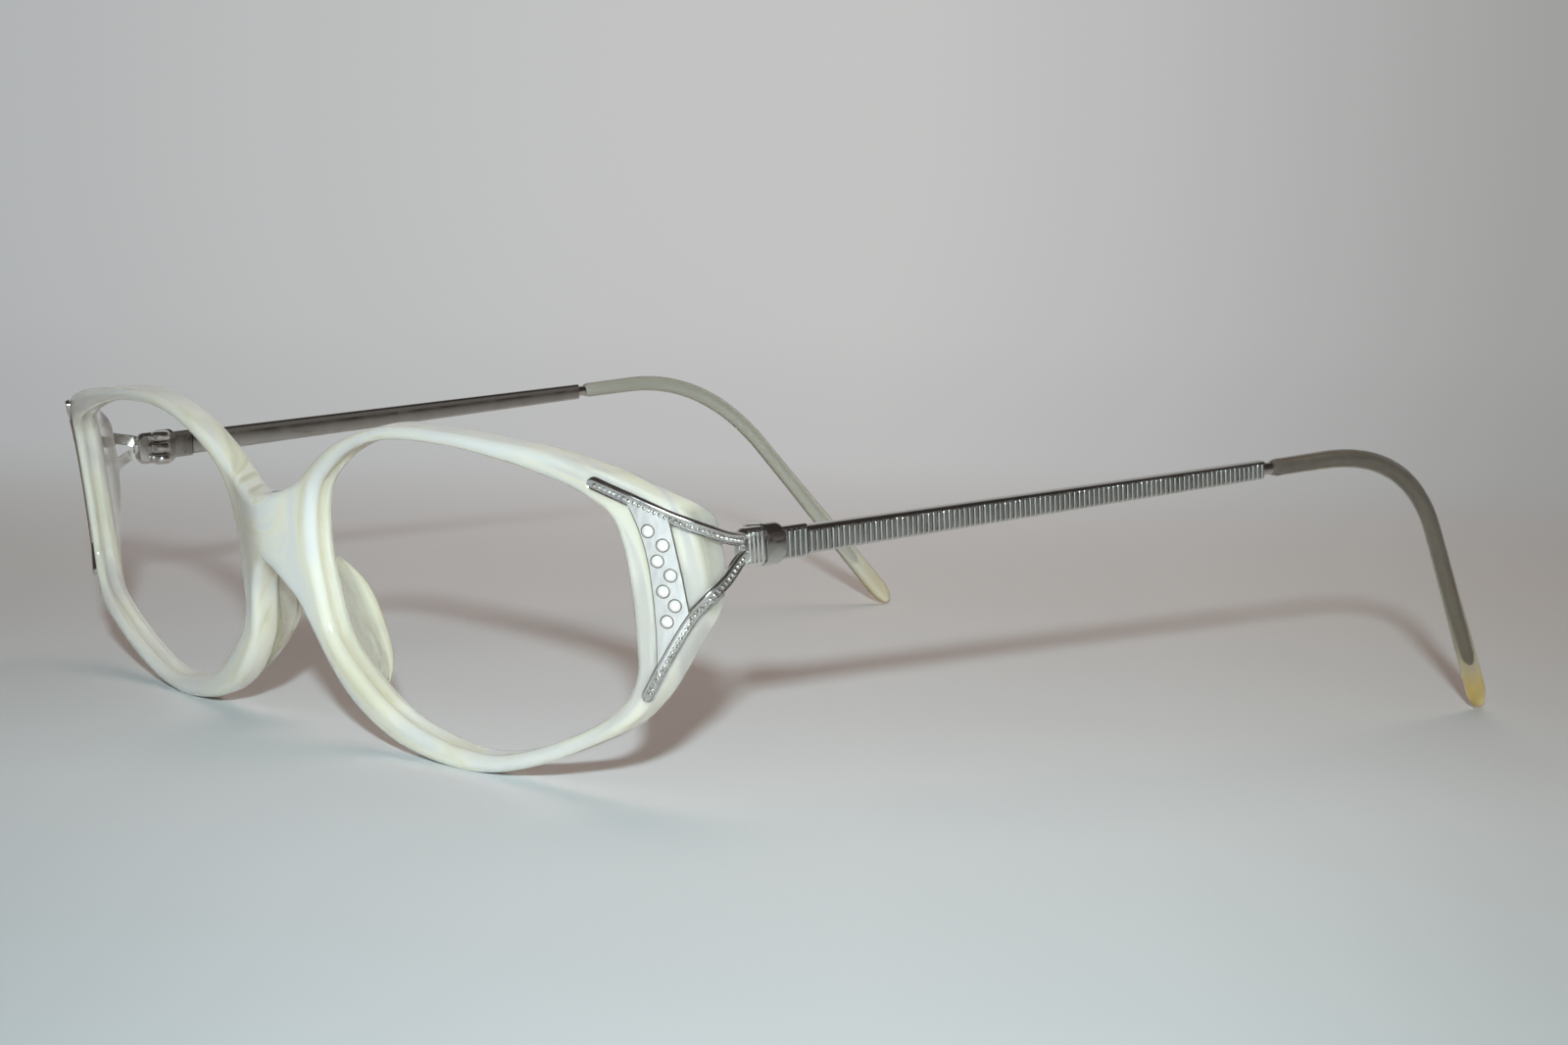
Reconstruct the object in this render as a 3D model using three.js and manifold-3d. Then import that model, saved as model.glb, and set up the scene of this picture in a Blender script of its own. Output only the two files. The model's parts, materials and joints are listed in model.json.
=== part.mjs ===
// Eyeglass frame: a marbled acetate front with fixed nose pads, Y-shaped metal end pieces
// set with crystals, ribbed temple bars on three-barrel screw hinges, and acetate tips.
// Millimetres, +Z up. The front faces -Y and +X is the wearer's left.

import * as THREE from 'three';
import { mergeVertices } from 'three/addons/utils/BufferGeometryUtils.js';
import Module from 'manifold-3d';

const wasm = await Module();
wasm.setup();
const DEG = Math.PI / 180;

// Front: apertures, bow and section
const APERTURE_WIDTH = 52.0;
const APERTURE_HEIGHT = 33.9;
const NOSE_GAP = 17.0;
const FRONT_THICKNESS = 3.6;
const FRONT_EDGE = 1.0;
const BACK_EDGE = 1.0;
const BOW_RADIUS = 297;
const WRAP_INSET = 4.5;
const WRAP_RADIUS = 10.8;
const GROOVE_WIDTH = 1.4;
const GROOVE_DEPTH = 0.5;

// Front: rim widths round the aperture, and the bridge
const RIM_TOP = 1.45;
const RIM_BROW = 2.5;
const RIM_LUG = 5.4;
const RIM_CHEEK = 2.0;
const RIM_BOTTOM = 2.1;
const RIM_NOSE = 4.3;
const BRIDGE_TOP = 9.2;
const BRIDGE_ARCH = 1.4;
const BRIDGE_FORWARD = 1.6;
const BRIDGE_REACH = 9;

// Lug: the length that the shares in its outline, arms and plate are taken from
const LUG_SIZE = 10.0;

// Nose pads
const PAD_DEPTH = 4.2;
const PAD_WIDTH = 3.4;
const PAD_INSET = 0.3;
const PAD_FLARE = 0.35;
const PAD_FROM = 176;
const PAD_TO = 209;
const GLUE_GAP = 0.12;

// End piece: arms, beads, fixing posts
const ARM_WIDTH = 1.4;
const ARM_HEIGHT = 0.4;
const ARM_LIFT = 0.1;
const ARM_LEAD = 0.6;
const ARM_SINK = 0.4;
const BEAD_RELIEF = 0.2;
const BEAD_PITCH = 0.57;
const POST_RADIUS = 0.3;
const POST_LENGTH = 1.6;
const METAL_GAP = 0.06;

// Stone plate and crystals
const PLATE_HEIGHT = 0.45;
const CRYSTAL_RADIUS = 0.6;
const CRYSTAL_CROWN = 0.22;
const CRYSTAL_PAVILION = 0.3;
const CRYSTAL_GIRDLE = 0.08;
const CRYSTAL_COUNT = 7;
const CRYSTAL_PITCH = LUG_SIZE * 0.1575;
const CRYSTAL_ZIGZAG = LUG_SIZE * 0.037;
const CRYSTAL_LEAN = LUG_SIZE * 0.06;
const CRYSTAL_FROM_LUG = LUG_SIZE * 0.243;
const CRYSTAL_FIRST = LUG_SIZE * 0.915;

// Hinge: place on the front, angles of the open temple, barrels and screw
const HINGE_INSET = 2.0;
const HINGE_SETBACK = 5.0;
const HINGE_RISE = 5.15;
const TEMPLE_DROP = 5.5 * DEG;
const TEMPLE_SPLAY = 2.3 * DEG;
const BARREL_RADIUS = 1.3;
const BARREL_STACK = 4.3;
const BARREL_MIDDLE = 1.5;
const RUNNING_GAP = 0.09;
const SCREW_RADIUS = 0.55;
const HEAD_RADIUS = 0.9;
const HEAD_HEIGHT = 0.45;
const HEAD_RECESS = 0.02;
const SLOT_WIDTH = 0.28;
const SLOT_DEPTH = 0.2;

// Hinge: block on the end piece and cuff on the temple
const BLOCK_LENGTH = 2.9;
const BLOCK_HEIGHT = 4.1;
const BLOCK_INNER = 0.35;
const BLOCK_OUTER = 2.05;
const BLOCK_CORNER = 0.9;
const SPLIT_CORNER = 0.15;
const WEB_LENGTH = 0.6;
const WEB_HEIGHT = 1.3;
const WEB_CORNER = 0.2;
const BLOCK_FLUTES = 4;
const FLUTE_PITCH = 0.52;
const FLUTE_RELIEF = 0.28;
const FLUTE_HEIGHT = 3.5;
const FLUTE_ROOT = 0.05;
const FLUTE_MARGIN = 0.2;
const CUFF_LENGTH = 2.45;
const CUFF_HEIGHT = 4.4;
const CUFF_PROUD = 0.15;
const PANEL_LENGTH = 2.7;
const PANEL_HEIGHT = 3.4;
const PANEL_RIBS = 4;
const PANEL_LAP = 0.1;

// Temple bar
const BAR_LENGTH = 63.7;
const BAR_INNER = 0.75;
const BAR_OUTER = 2.3;
const BAR_FRONT_HEIGHT = 3.0;
const BAR_BACK_HEIGHT = 2.1;
const RIB_COUNT = 92;
const RIB_RELIEF = 0.26;
const RIB_ROOT = 0.02;
const TENON_LENGTH = 1.8;
const TENON_WIDTH = 0.8;
const TENON_HEIGHT = 1.8;
const NECK_LENGTH = 1.4;
const NECK_RADIUS = 0.7;
const CORE_RADIUS = 0.5;

// Temple tip
const TIP_STRAIGHT = 22.3;
const TIP_DROP = 45.2;
const BEND_REACH = 14;
const BEND_ANGLE = 56.4 * DEG;
const INWARD_ANGLE = 15.5 * DEG;
const TIP_FRONT_WIDTH = 2.0;
const TIP_BEND_WIDTH = 2.2;
const TIP_END_WIDTH = 2.9;
const TIP_THICKNESS = 2.0;
const TIP_CLEAR_END = 8;

// Facets
const OUTLINE_SAMPLES = 480;
const RIM_STATIONS = 43;
const BRIDGE_STATIONS = 7;
const ROUND_SIDES = 12;
const CRYSTAL_SIDES = 8;
const CORE_STEPS = 16;
const TOOL_STEPS = 20;
const CORE_SIDES = 6;

// The largest tilt of the standing frame that is tried
const TILT_LIMIT = 30 * DEG;

const acetate = new THREE.MeshStandardMaterial({ color: 0xe6e9e2, roughness: 0.15, metalness: 0 });
const padAcetate = new THREE.MeshStandardMaterial({ color: 0xe6dfb8, roughness: 0.15, metalness: 0 });
const polishedMetal = new THREE.MeshStandardMaterial({ color: 0xc4c2be, roughness: 0.15, metalness: 1 });
const satinMetal = new THREE.MeshStandardMaterial({ color: 0xd6d5d6, roughness: 0.45, metalness: 1 });
const crystalGlass = new THREE.MeshStandardMaterial({ color: 0xf6f8fb, roughness: 0.02, metalness: 0 });
const tipAcetate = new THREE.MeshStandardMaterial({ color: 0x8b887b, roughness: 0.25, metalness: 0 });

const vec2 = (x, y) => new THREE.Vector2(x, y);
const vec3 = (x, y, z) => new THREE.Vector3(x, y, z);
const lerp = THREE.MathUtils.lerp;
const ease = (t) => t * t * (3 - 2 * t);

// Solids: joins and cuts of closed meshes

function solid(geometry) {
  const bare = geometry.clone();
  bare.deleteAttribute('normal');
  bare.deleteAttribute('uv');
  const merged = mergeVertices(bare, 1e-4);
  const vertProperties = new Float32Array(merged.attributes.position.array);
  const triVerts = new Uint32Array(merged.index.array);
  return new wasm.Manifold(new wasm.Mesh({ numProp: 3, vertProperties, triVerts }));
}

function geometryOf(manifold) {
  const mesh = manifold.getMesh();
  const geometry = new THREE.BufferGeometry();
  geometry.setAttribute('position', new THREE.BufferAttribute(new Float32Array(mesh.vertProperties), 3));
  geometry.setIndex(new THREE.BufferAttribute(new Uint32Array(mesh.triVerts), 1));
  return geometry;
}

function joined(geometries) {
  return geometries.map(solid).reduce((sum, next) => sum.add(next));
}

function cut(blank, tools) {
  return tools.reduce((rest, tool) => rest.subtract(solid(tool)), blank);
}

// The same geometry for the other side of the face
function mirrored(geometry) {
  const copy = mergeVertices(bareCopy(geometry), 1e-5);
  copy.scale(-1, 1, 1);
  const index = copy.index.array;
  for (let i = 0; i < index.length; i += 3) {
    const first = index[i];
    index[i] = index[i + 1];
    index[i + 1] = first;
  }
  return copy;
}

function bareCopy(geometry) {
  const copy = geometry.clone();
  copy.deleteAttribute('normal');
  copy.deleteAttribute('uv');
  return copy;
}

// A closed skin over rings of equal count, with flat caps on the first and last ring
function loft(rings) {
  const count = rings[0].length;
  const points = rings.flat();
  const index = [];
  for (let i = 0; i + 1 < rings.length; i += 1) {
    for (let j = 0; j < count; j += 1) {
      const a = i * count + j;
      const b = i * count + (j + 1) % count;
      index.push(a, b, b + count, a, b + count, a + count);
    }
  }
  const last = (rings.length - 1) * count;
  for (let j = 1; j + 1 < count; j += 1) {
    index.push(0, j + 1, j);
    index.push(last, last + j, last + j + 1);
  }
  return outward(new THREE.BufferGeometry().setFromPoints(points).setIndex(index));
}

// Turns a closed skin so that its faces point out
function outward(geometry) {
  const p = geometry.attributes.position;
  const index = geometry.index.array;
  const [a, b, c] = [vec3(), vec3(), vec3()];
  let volume = 0;
  for (let i = 0; i < index.length; i += 3) {
    a.fromBufferAttribute(p, index[i]);
    b.fromBufferAttribute(p, index[i + 1]);
    c.fromBufferAttribute(p, index[i + 2]);
    volume += a.dot(b.cross(c));
  }
  if (volume < 0) {
    index.reverse();
  }
  return geometry;
}

// A skin along a curve. The section gives points across (first value) and up (second value).
function sweep(curve, stops, acrossHint, section) {
  const rings = stops.map((t, k) => {
    const centre = curve.getPoint(t);
    const along = curve.getTangent(t);
    const up = along.clone().cross(acrossHint(t)).normalize();
    const across = up.clone().cross(along).normalize();
    return section(t, k).map((p) => centre.clone().addScaledVector(across, p.x).addScaledVector(up, p.y));
  });
  return loft(rings);
}

function ellipse(acrossRadius, upRadius, sides) {
  return Array.from({ length: sides }, (_, k) => {
    const angle = (2 * Math.PI * (k + 0.5)) / sides;
    return vec2(acrossRadius * Math.cos(angle), upRadius * Math.sin(angle));
  });
}

function stopsBetween(from, to, count) {
  return Array.from({ length: count + 1 }, (_, k) => lerp(from, to, k / count));
}

// A cylinder along Z
function post(radius, bottom, top, sides = ROUND_SIDES) {
  const geometry = new THREE.CylinderGeometry(radius, radius, top - bottom, sides);
  return geometry.rotateX(Math.PI / 2).translate(0, 0, (top + bottom) / 2);
}

function box(from, to) {
  const size = to.clone().sub(from);
  const middle = from.clone().add(to).multiplyScalar(0.5);
  return new THREE.BoxGeometry(size.x, size.y, size.z).translate(middle.x, middle.y, middle.z);
}

// Front outline, in the plane of the front: x across and y up

const lensCentre = vec2(NOSE_GAP / 2 + APERTURE_WIDTH / 2, RIM_BOTTOM + APERTURE_HEIGHT / 2);
const lugX = NOSE_GAP / 2 + APERTURE_WIDTH + RIM_LUG;

// Corners of the aperture as shares of its half width and half height
const APERTURE_SHAPE = [
  [-0.37, 1.0], [0.05, 1.0], [0.34, 0.94], [0.6, 0.855], [0.82, 0.75], [0.93, 0.635], [0.965, 0.45],
  [0.975, 0.17], [0.97, -0.1], [0.953, -0.36], [0.888, -0.528], [0.73, -0.685], [0.35, -0.905], [0.06, -1.0],
  [-0.24, -0.975], [-0.55, -0.845], [-0.8, -0.6], [-0.945, -0.37], [-0.99, -0.05], [-1.0, 0.26],
  [-0.935, 0.585], [-0.81, 0.755], [-0.61, 0.91],
];

function outline(points, closed, samples) {
  const curve = new THREE.CatmullRomCurve3(points.map((p) => vec3(p.x, p.y, 0)), closed, 'centripetal');
  return curve.getSpacedPoints(samples).map((p) => vec2(p.x, p.y));
}

const aperture = outline(APERTURE_SHAPE.map(([u, v]) => vec2(
  lensCentre.x + (u * APERTURE_WIDTH) / 2,
  lensCentre.y + (v * APERTURE_HEIGHT) / 2,
)), true, OUTLINE_SAMPLES);

// Where a ray from the lens centre meets a line of points
function pointOnRay(line, angle) {
  const ray = vec2(Math.cos(angle), Math.sin(angle));
  for (let i = 0; i + 1 < line.length; i += 1) {
    const a = line[i].clone().sub(lensCentre);
    const b = line[i + 1].clone().sub(lensCentre);
    const sideA = ray.cross(a);
    const sideB = ray.cross(b);
    if (sideA * sideB <= 0 && sideA !== sideB) {
      const hit = a.lerp(b, sideA / (sideA - sideB));
      if (hit.dot(ray) > 0) {
        return hit.add(lensCentre);
      }
    }
  }
  throw new Error('no point on this ray');
}

const angleOf = (p) => Math.atan2(p.y - lensCentre.y, p.x - lensCentre.x);

// A point outside the aperture, at a clock angle in degrees, by a rim width
function rimPoint(degrees, width) {
  const angle = degrees * DEG;
  const step = pointOnRay(aperture, angle + DEG).sub(pointOnRay(aperture, angle - DEG));
  const normal = vec2(step.y, -step.x).normalize();
  return pointOnRay(aperture, angle).addScaledVector(normal, width);
}

// Corners of the lug's edge as shares of the lug's size, from its outermost place and the lens centre
const LUG_SHAPE = [
  [-0.92, 1.57], [-0.65, 1.475], [-0.34, 1.27], [-0.12, 1.1], [-0.02, 0.96], [0, 0.76], [0.01, 0.34],
  [-0.05, -0.02], [-0.17, -0.27], [-0.3, -0.51], [-0.43, -0.74], [-0.57, -0.925],
];
const lugPoint = ([u, v]) => vec2(lugX + u * LUG_SIZE, lensCentre.y + v * LUG_SIZE);

const bridgeTop = vec2(0, lensCentre.y + BRIDGE_TOP);
const archTop = vec2(0, lensCentre.y + BRIDGE_ARCH);
const outer = [
  bridgeTop,
  vec2(NOSE_GAP * 0.19, lensCentre.y + BRIDGE_TOP * 1.054),
  rimPoint(160, RIM_NOSE * 0.93),
  rimPoint(149, RIM_TOP * 1.41),
  rimPoint(136, RIM_TOP * 1.07),
  rimPoint(116, RIM_TOP),
  rimPoint(86, RIM_TOP),
  rimPoint(62, RIM_TOP * 1.28),
  rimPoint(44, RIM_BROW),
  ...LUG_SHAPE.map(lugPoint),
  rimPoint(335, RIM_CHEEK),
  rimPoint(322, RIM_BOTTOM * 0.81),
  rimPoint(298, RIM_BOTTOM * 0.83),
  rimPoint(268, RIM_BOTTOM),
  rimPoint(245, RIM_BOTTOM * 1.24),
  rimPoint(225, RIM_NOSE * 0.744),
  rimPoint(208, RIM_NOSE * 0.86),
  rimPoint(197, RIM_NOSE * 0.767),
  rimPoint(190, RIM_NOSE * 0.814),
  rimPoint(185, RIM_NOSE),
  vec2(NOSE_GAP * 0.08, lensCentre.y + BRIDGE_ARCH * 0.5),
  archTop,
];
const outerLine = outline(outer, false, OUTLINE_SAMPLES);

function distanceTo(line, p) {
  let least = Infinity;
  for (let i = 0; i + 1 < line.length; i += 1) {
    const along = line[i + 1].clone().sub(line[i]);
    const reach = THREE.MathUtils.clamp(p.clone().sub(line[i]).dot(along) / along.lengthSq(), 0, 1);
    least = Math.min(least, p.distanceTo(along.multiplyScalar(reach).add(line[i])));
  }
  return least;
}

// Depth of the front face: a bow, more wrap at the lugs, and the bridge set forward
function bow(x) {
  const past = Math.max(Math.abs(x) - (NOSE_GAP / 2 + APERTURE_WIDTH - WRAP_INSET), 0);
  const near = Math.max(1 - Math.abs(x) / BRIDGE_REACH, 0);
  const sag = BOW_RADIUS - Math.sqrt(BOW_RADIUS ** 2 - x * x);
  return sag + (past * past) / (2 * WRAP_RADIUS) - BRIDGE_FORWARD * ease(near);
}

// Angle of the front face's outward normal, from straight ahead towards the temple
function bowAngle(x) {
  const step = 0.01;
  return Math.atan((bow(x + step) - bow(x - step)) / (2 * step));
}

function edgeRound(distance, radius) {
  const k = 1 - Math.min(distance / radius, 1);
  return radius * (1 - Math.sqrt(1 - k * k));
}

// Section of the rim on the way from the aperture (inner) to the outside (rim)
function frontSection(inner, rim, grow) {
  const width = inner.distanceTo(rim);
  const way = rim.clone().sub(inner).divideScalar(width);
  const reach = Math.min(FRONT_EDGE, 0.42 * width);
  const places = [-grow, 0.3 * reach, reach, width / 2, width - reach, width - 0.3 * reach, width];
  const onCentre = rim.x === 0;
  if (!onCentre) {
    places[places.length - 1] += grow;
  }
  const faces = places.map((place, k) => {
    const p = inner.clone().addScaledVector(way, place);
    if (onCentre && k === places.length - 1) {
      p.x = 0;
    }
    const toInner = k === 0 ? 0 : distanceTo(aperture, p);
    const toOuter = k === places.length - 1 && !onCentre ? 0 : distanceTo(outerLine, p);
    const edge = Math.min(toInner, toOuter);
    const room = 0.48 * (toInner + toOuter) || width / 2;
    const front = bow(p.x) + edgeRound(edge, Math.min(FRONT_EDGE, room));
    const back = bow(p.x) + FRONT_THICKNESS - edgeRound(edge, Math.min(BACK_EDGE, room));
    return { p, front: front - grow, back: back + grow };
  });
  const at = (p, depth) => vec3(p.x, depth, p.y);
  const ring = faces.map((f) => at(f.p, f.front));
  ring.push(...faces.toReversed().map((f) => at(f.p, f.back)));
  const middle = bow(inner.x) + FRONT_THICKNESS / 2;
  const wall = faces[0].p;
  const bottom = wall.clone().addScaledVector(way, GROOVE_DEPTH);
  ring.push(at(wall, middle + GROOVE_WIDTH / 2));
  ring.push(at(bottom, middle));
  ring.push(at(wall, middle - GROOVE_WIDTH / 2));
  return { ring, onCentre, outerEdge: faces.length - 1 };
}

// The whole front. A clearance in grow makes it larger all round, as a cutting tool.
function frontGeometry(grow) {
  const rims = outline(outer, false, RIM_STATIONS);
  rims[0].x = 0;
  rims[RIM_STATIONS].x = 0;
  for (let k = 1; k < BRIDGE_STATIONS; k += 1) {
    rims.push(vec2(0, lerp(archTop.y, bridgeTop.y, ease(k / BRIDGE_STATIONS))));
  }
  const sections = rims.map((rim) => frontSection(pointOnRay(aperture, angleOf(rim)), rim, grow));
  const count = sections[0].ring.length;
  const index = [];
  sections.forEach((section, i) => {
    const next = (i + 1) % sections.length;
    for (let j = 0; j < count; j += 1) {
      const onCentre = section.onCentre && sections[next].onCentre && j === section.outerEdge;
      if (!onCentre) {
        const k = (j + 1) % count;
        index.push(i * count + j, i * count + k, next * count + k);
        index.push(i * count + j, next * count + k, next * count + j);
      }
    }
  });
  const points = sections.flatMap((section) => section.ring);
  const half = points.length;
  points.push(...points.map((p) => vec3(-p.x, p.y, p.z)));
  for (let i = index.length - 3; i >= 0; i -= 3) {
    index.push(index[i] + half, index[i + 2] + half, index[i + 1] + half);
  }
  const geometry = new THREE.BufferGeometry().setFromPoints(points).setIndex(index);
  return outward(mergeVertices(geometry, 1e-4));
}

// Nose pad: a rounded tongue behind the nasal rim, leaning away from the nose towards its back edge

function padGeometry() {
  const stations = 12;
  const rings = stopsBetween(0, 1, stations).map((t) => {
    const degrees = lerp(PAD_FROM, PAD_TO, t);
    const inner = pointOnRay(aperture, degrees * DEG);
    const rim = rimPoint(degrees, RIM_NOSE);
    const way = rim.clone().sub(inner).normalize();
    const swell = Math.sin(Math.PI * lerp(0.06, 0.94, t)) ** 0.7;
    const depth = PAD_DEPTH * swell;
    const centre = RIM_NOSE - PAD_INSET - PAD_WIDTH / 2;
    const side = [0, 0.3, 0.65, 0.9];
    const at = (share, sign) => {
      const half = (PAD_WIDTH / 2) * Math.sqrt(1 - share * share) * lerp(0.7, 1, swell);
      const place = centre + sign * half - PAD_FLARE * share * depth;
      const p = inner.clone().addScaledVector(way, place);
      return vec3(p.x, bow(p.x) + FRONT_THICKNESS + GLUE_GAP + share * depth, p.y);
    };
    return [...side.map((s) => at(s, 1)), at(1, 0), ...side.toReversed().map((s) => at(s, -1))];
  });
  return loft(rings);
}

// End piece arms: each runs on the front face, turns round the lug's edge and ends in the hinge block

const hingePoint = vec3(
  lugX - HINGE_INSET,
  bow(lugX) + FRONT_THICKNESS + HINGE_SETBACK,
  lensCentre.y + HINGE_RISE,
);
const hingeTurn = new THREE.Euler(-TEMPLE_DROP, 0, -TEMPLE_SPLAY);
const hingeMatrix = new THREE.Matrix4().compose(
  hingePoint,
  new THREE.Quaternion().setFromEuler(hingeTurn),
  vec3(1, 1, 1),
);

// A point on the front face, given from the lug's edge and the lens centre
function onFace(fromLug, aboveCentre) {
  const x = lugX + fromLug;
  return { p: vec3(x, bow(x), lensCentre.y + aboveCentre), angle: bowAngle(x) };
}

// The same in shares of the lug's size
const onLug = (u, v) => onFace(u * LUG_SIZE, v * LUG_SIZE);

// A point beside the lug, in shares of the lug's size from its edge, its front face and the lens centre
function besideLug(u, behind, v, degrees) {
  const p = vec3(lugX + u * LUG_SIZE, bow(lugX) + behind * LUG_SIZE, lensCentre.y + v * LUG_SIZE);
  return { p, angle: degrees * DEG };
}

// A point of an arm at the hinge block: shares of its thickness and height, and a place along it
function inBlock(outShare, y, upShare) {
  const p = vec3(BLOCK_OUTER * outShare, y, BLOCK_HEIGHT * upShare);
  return { p: p.applyMatrix4(hingeMatrix), angle: 90 * DEG };
}

const armTurn = -BLOCK_LENGTH - ARM_LEAD;
const armEnd = -BLOCK_LENGTH + ARM_SINK;
const upperArm = [
  onLug(-0.825, 1.435),
  onLug(-0.465, 1.245),
  onLug(-0.175, 1.035),
  onLug(-0.05, 0.945),
  besideLug(0.03, 0.1, 0.85, 62),
  besideLug(0.045, 0.32, 0.73, 84),
  inBlock(1.05, armTurn, 0.28),
  inBlock(0.73, armEnd, 0.21),
];
const lowerArm = [
  onLug(-0.535, -0.82),
  onLug(-0.335, -0.45),
  onLug(-0.155, -0.115),
  onLug(-0.065, 0.035),
  besideLug(0.04, 0.03, 0.17, 62),
  besideLug(0.06, 0.25, 0.315, 84),
  inBlock(1.02, armTurn, -0.22),
  inBlock(0.73, armEnd, -0.19),
];

// An arm with its beaded ridge. A clearance in grow makes it larger all round, as a cutting tool.
function armSolid(controls, grow) {
  const curve = new THREE.CatmullRomCurve3(controls.map((c) => c.p), false, 'centripetal');
  const length = curve.getLength();
  const outAt = (t) => {
    const place = Math.min(t * (controls.length - 1), controls.length - 1.001);
    const k = Math.floor(place);
    const angle = lerp(controls[k].angle, controls[k + 1].angle, place - k);
    return vec3(Math.sin(angle), -Math.cos(angle), 0);
  };
  const acrossHint = (t) => outAt(t).cross(curve.getTangent(t));
  const steps = grow > 0 ? TOOL_STEPS : 2 * Math.round(length / BEAD_PITCH);
  const stops = stopsBetween(0, 1, steps).map((u) => curve.getUtoTmapping(u));
  const section = (t, k) => {
    const fromEnd = Math.min(((k / steps) * length) / (ARM_WIDTH / 2), 1);
    const half = (ARM_WIDTH / 2) * Math.max(Math.sqrt(1 - (1 - fromEnd) ** 2), 0.3) + grow;
    const low = grow > 0 ? -ARM_HEIGHT : ARM_LIFT;
    const shoulder = ARM_LIFT + ARM_HEIGHT + grow;
    const ridge = shoulder + (k % 2) * BEAD_RELIEF;
    return [vec2(-half, low), vec2(half, low), vec2(half, shoulder), vec2(0, ridge), vec2(-half, shoulder)];
  };
  return solid(sweep(curve, stops, acrossHint, section));
}

// Ribbed slab: an outline with ribs on its outer side, extruded along Z
function ribbedSlab(inner, valley, relief, from, pitch, ribs, height) {
  const shape = new THREE.Shape();
  shape.moveTo(inner, from);
  for (let k = 0; k < ribs; k += 1) {
    const y = from + k * pitch;
    shape.lineTo(valley, y + RIB_ROOT * pitch);
    shape.lineTo(valley + relief, y + pitch / 2);
  }
  shape.lineTo(valley, from + ribs * pitch);
  shape.lineTo(inner, from + ribs * pitch);
  const slab = new THREE.ExtrudeGeometry(shape, { depth: height, bevelEnabled: false });
  return slab.translate(0, 0, -height / 2);
}

// A block with rounded corners seen from the side: Y from and to, Z centred, X inner to outer
function sideBlock(from, to, height, inner, outerFace, front, back) {
  const half = height / 2;
  const shape = new THREE.Shape();
  shape.moveTo(from + front, -half);
  shape.lineTo(to - back, -half);
  shape.quadraticCurveTo(to, -half, to, -half + back);
  shape.lineTo(to, half - back);
  shape.quadraticCurveTo(to, half, to - back, half);
  shape.lineTo(from + front, half);
  shape.quadraticCurveTo(from, half, from, half - front);
  shape.lineTo(from, -half + front);
  shape.quadraticCurveTo(from, -half, from + front, -half);
  const options = { depth: outerFace - inner, bevelEnabled: false, curveSegments: 3 };
  const block = new THREE.ExtrudeGeometry(shape, options);
  const turn = new THREE.Matrix4().makeBasis(vec3(0, 1, 0), vec3(0, 0, 1), vec3(1, 0, 0));
  return block.applyMatrix4(turn).translate(inner, 0, 0);
}

const stackTop = BARREL_STACK / 2;
const middleTop = BARREL_MIDDLE / 2;
const splitGap = RUNNING_GAP / 2;
const boreRadius = SCREW_RADIUS + RUNNING_GAP;
const screwBore = () => post(boreRadius, -stackTop - 1, stackTop + 1);
const headSeat = () => post(HEAD_RADIUS + RUNNING_GAP, stackTop - HEAD_HEIGHT - RUNNING_GAP, stackTop + 1);

// Fluted block with the web between the arms and the two outer hinge barrels, in the hinge's own frame
function blockSolid() {
  const blockFront = -splitGap - BLOCK_LENGTH;
  const webFront = blockFront - WEB_LENGTH;
  const webBack = blockFront + WEB_LENGTH;
  const webOuter = BLOCK_OUTER - WEB_CORNER;
  const flutesFrom = -splitGap - FLUTE_MARGIN - BLOCK_FLUTES * FLUTE_PITCH;
  const flutesOn = BLOCK_OUTER - FLUTE_ROOT;
  const blank = joined([
    sideBlock(blockFront, -splitGap, BLOCK_HEIGHT, BLOCK_INNER, BLOCK_OUTER, BLOCK_CORNER, SPLIT_CORNER),
    sideBlock(webFront, webBack, WEB_HEIGHT, BLOCK_INNER, webOuter, WEB_CORNER, WEB_CORNER),
    ribbedSlab(BLOCK_INNER, flutesOn, FLUTE_RELIEF, flutesFrom, FLUTE_PITCH, BLOCK_FLUTES, FLUTE_HEIGHT),
    post(BARREL_RADIUS, middleTop + RUNNING_GAP, stackTop),
    post(BARREL_RADIUS, -stackTop, -middleTop - RUNNING_GAP),
  ]);
  const pocket = post(BARREL_RADIUS + RUNNING_GAP, -middleTop - RUNNING_GAP, middleTop + RUNNING_GAP);
  return cut(blank, [pocket, screwBore(), headSeat()]);
}

const postPlaces = [onLug(-0.73, 1.385), onLug(-0.53, -0.8)];

function fixingPost(place, radius, from, to) {
  return post(radius, from, to).rotateX(Math.PI / 2).translate(place.p.x, place.p.y, place.p.z);
}

// The whole end piece, trimmed clear of the acetate, with its posts
function endpieceGeometry() {
  const arms = armSolid(upperArm, 0).add(armSolid(lowerArm, 0));
  const block = blockSolid();
  const placed = solid(geometryOf(block).applyMatrix4(hingeMatrix));
  const trimmed = arms.subtract(solid(frontGeometry(METAL_GAP)));
  const posts = postPlaces.map((place) => solid(fixingPost(place, POST_RADIUS, -POST_LENGTH, ARM_HEIGHT)));
  const hingeRoom = [
    post(BARREL_RADIUS + RUNNING_GAP, -middleTop - RUNNING_GAP, middleTop + RUNNING_GAP),
    screwBore(),
  ].map((tool) => solid(tool.applyMatrix4(hingeMatrix)));
  const whole = posts.reduce((sum, next) => sum.add(next), trimmed.add(placed));
  return geometryOf(hingeRoom.reduce((rest, tool) => rest.subtract(tool), whole));
}

// Stone plate: a thin plate between the arms, bent to the front face, with round seats

const crystalPlaces = Array.from({ length: CRYSTAL_COUNT }, (_, k) => {
  const swing = (k % 2 === 0 ? -1 : 1) * CRYSTAL_ZIGZAG;
  const lean = CRYSTAL_LEAN * Math.max(1 - k / 4, 0) ** 2;
  return onFace(swing - lean - CRYSTAL_FROM_LUG, CRYSTAL_FIRST - k * CRYSTAL_PITCH);
});

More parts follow.
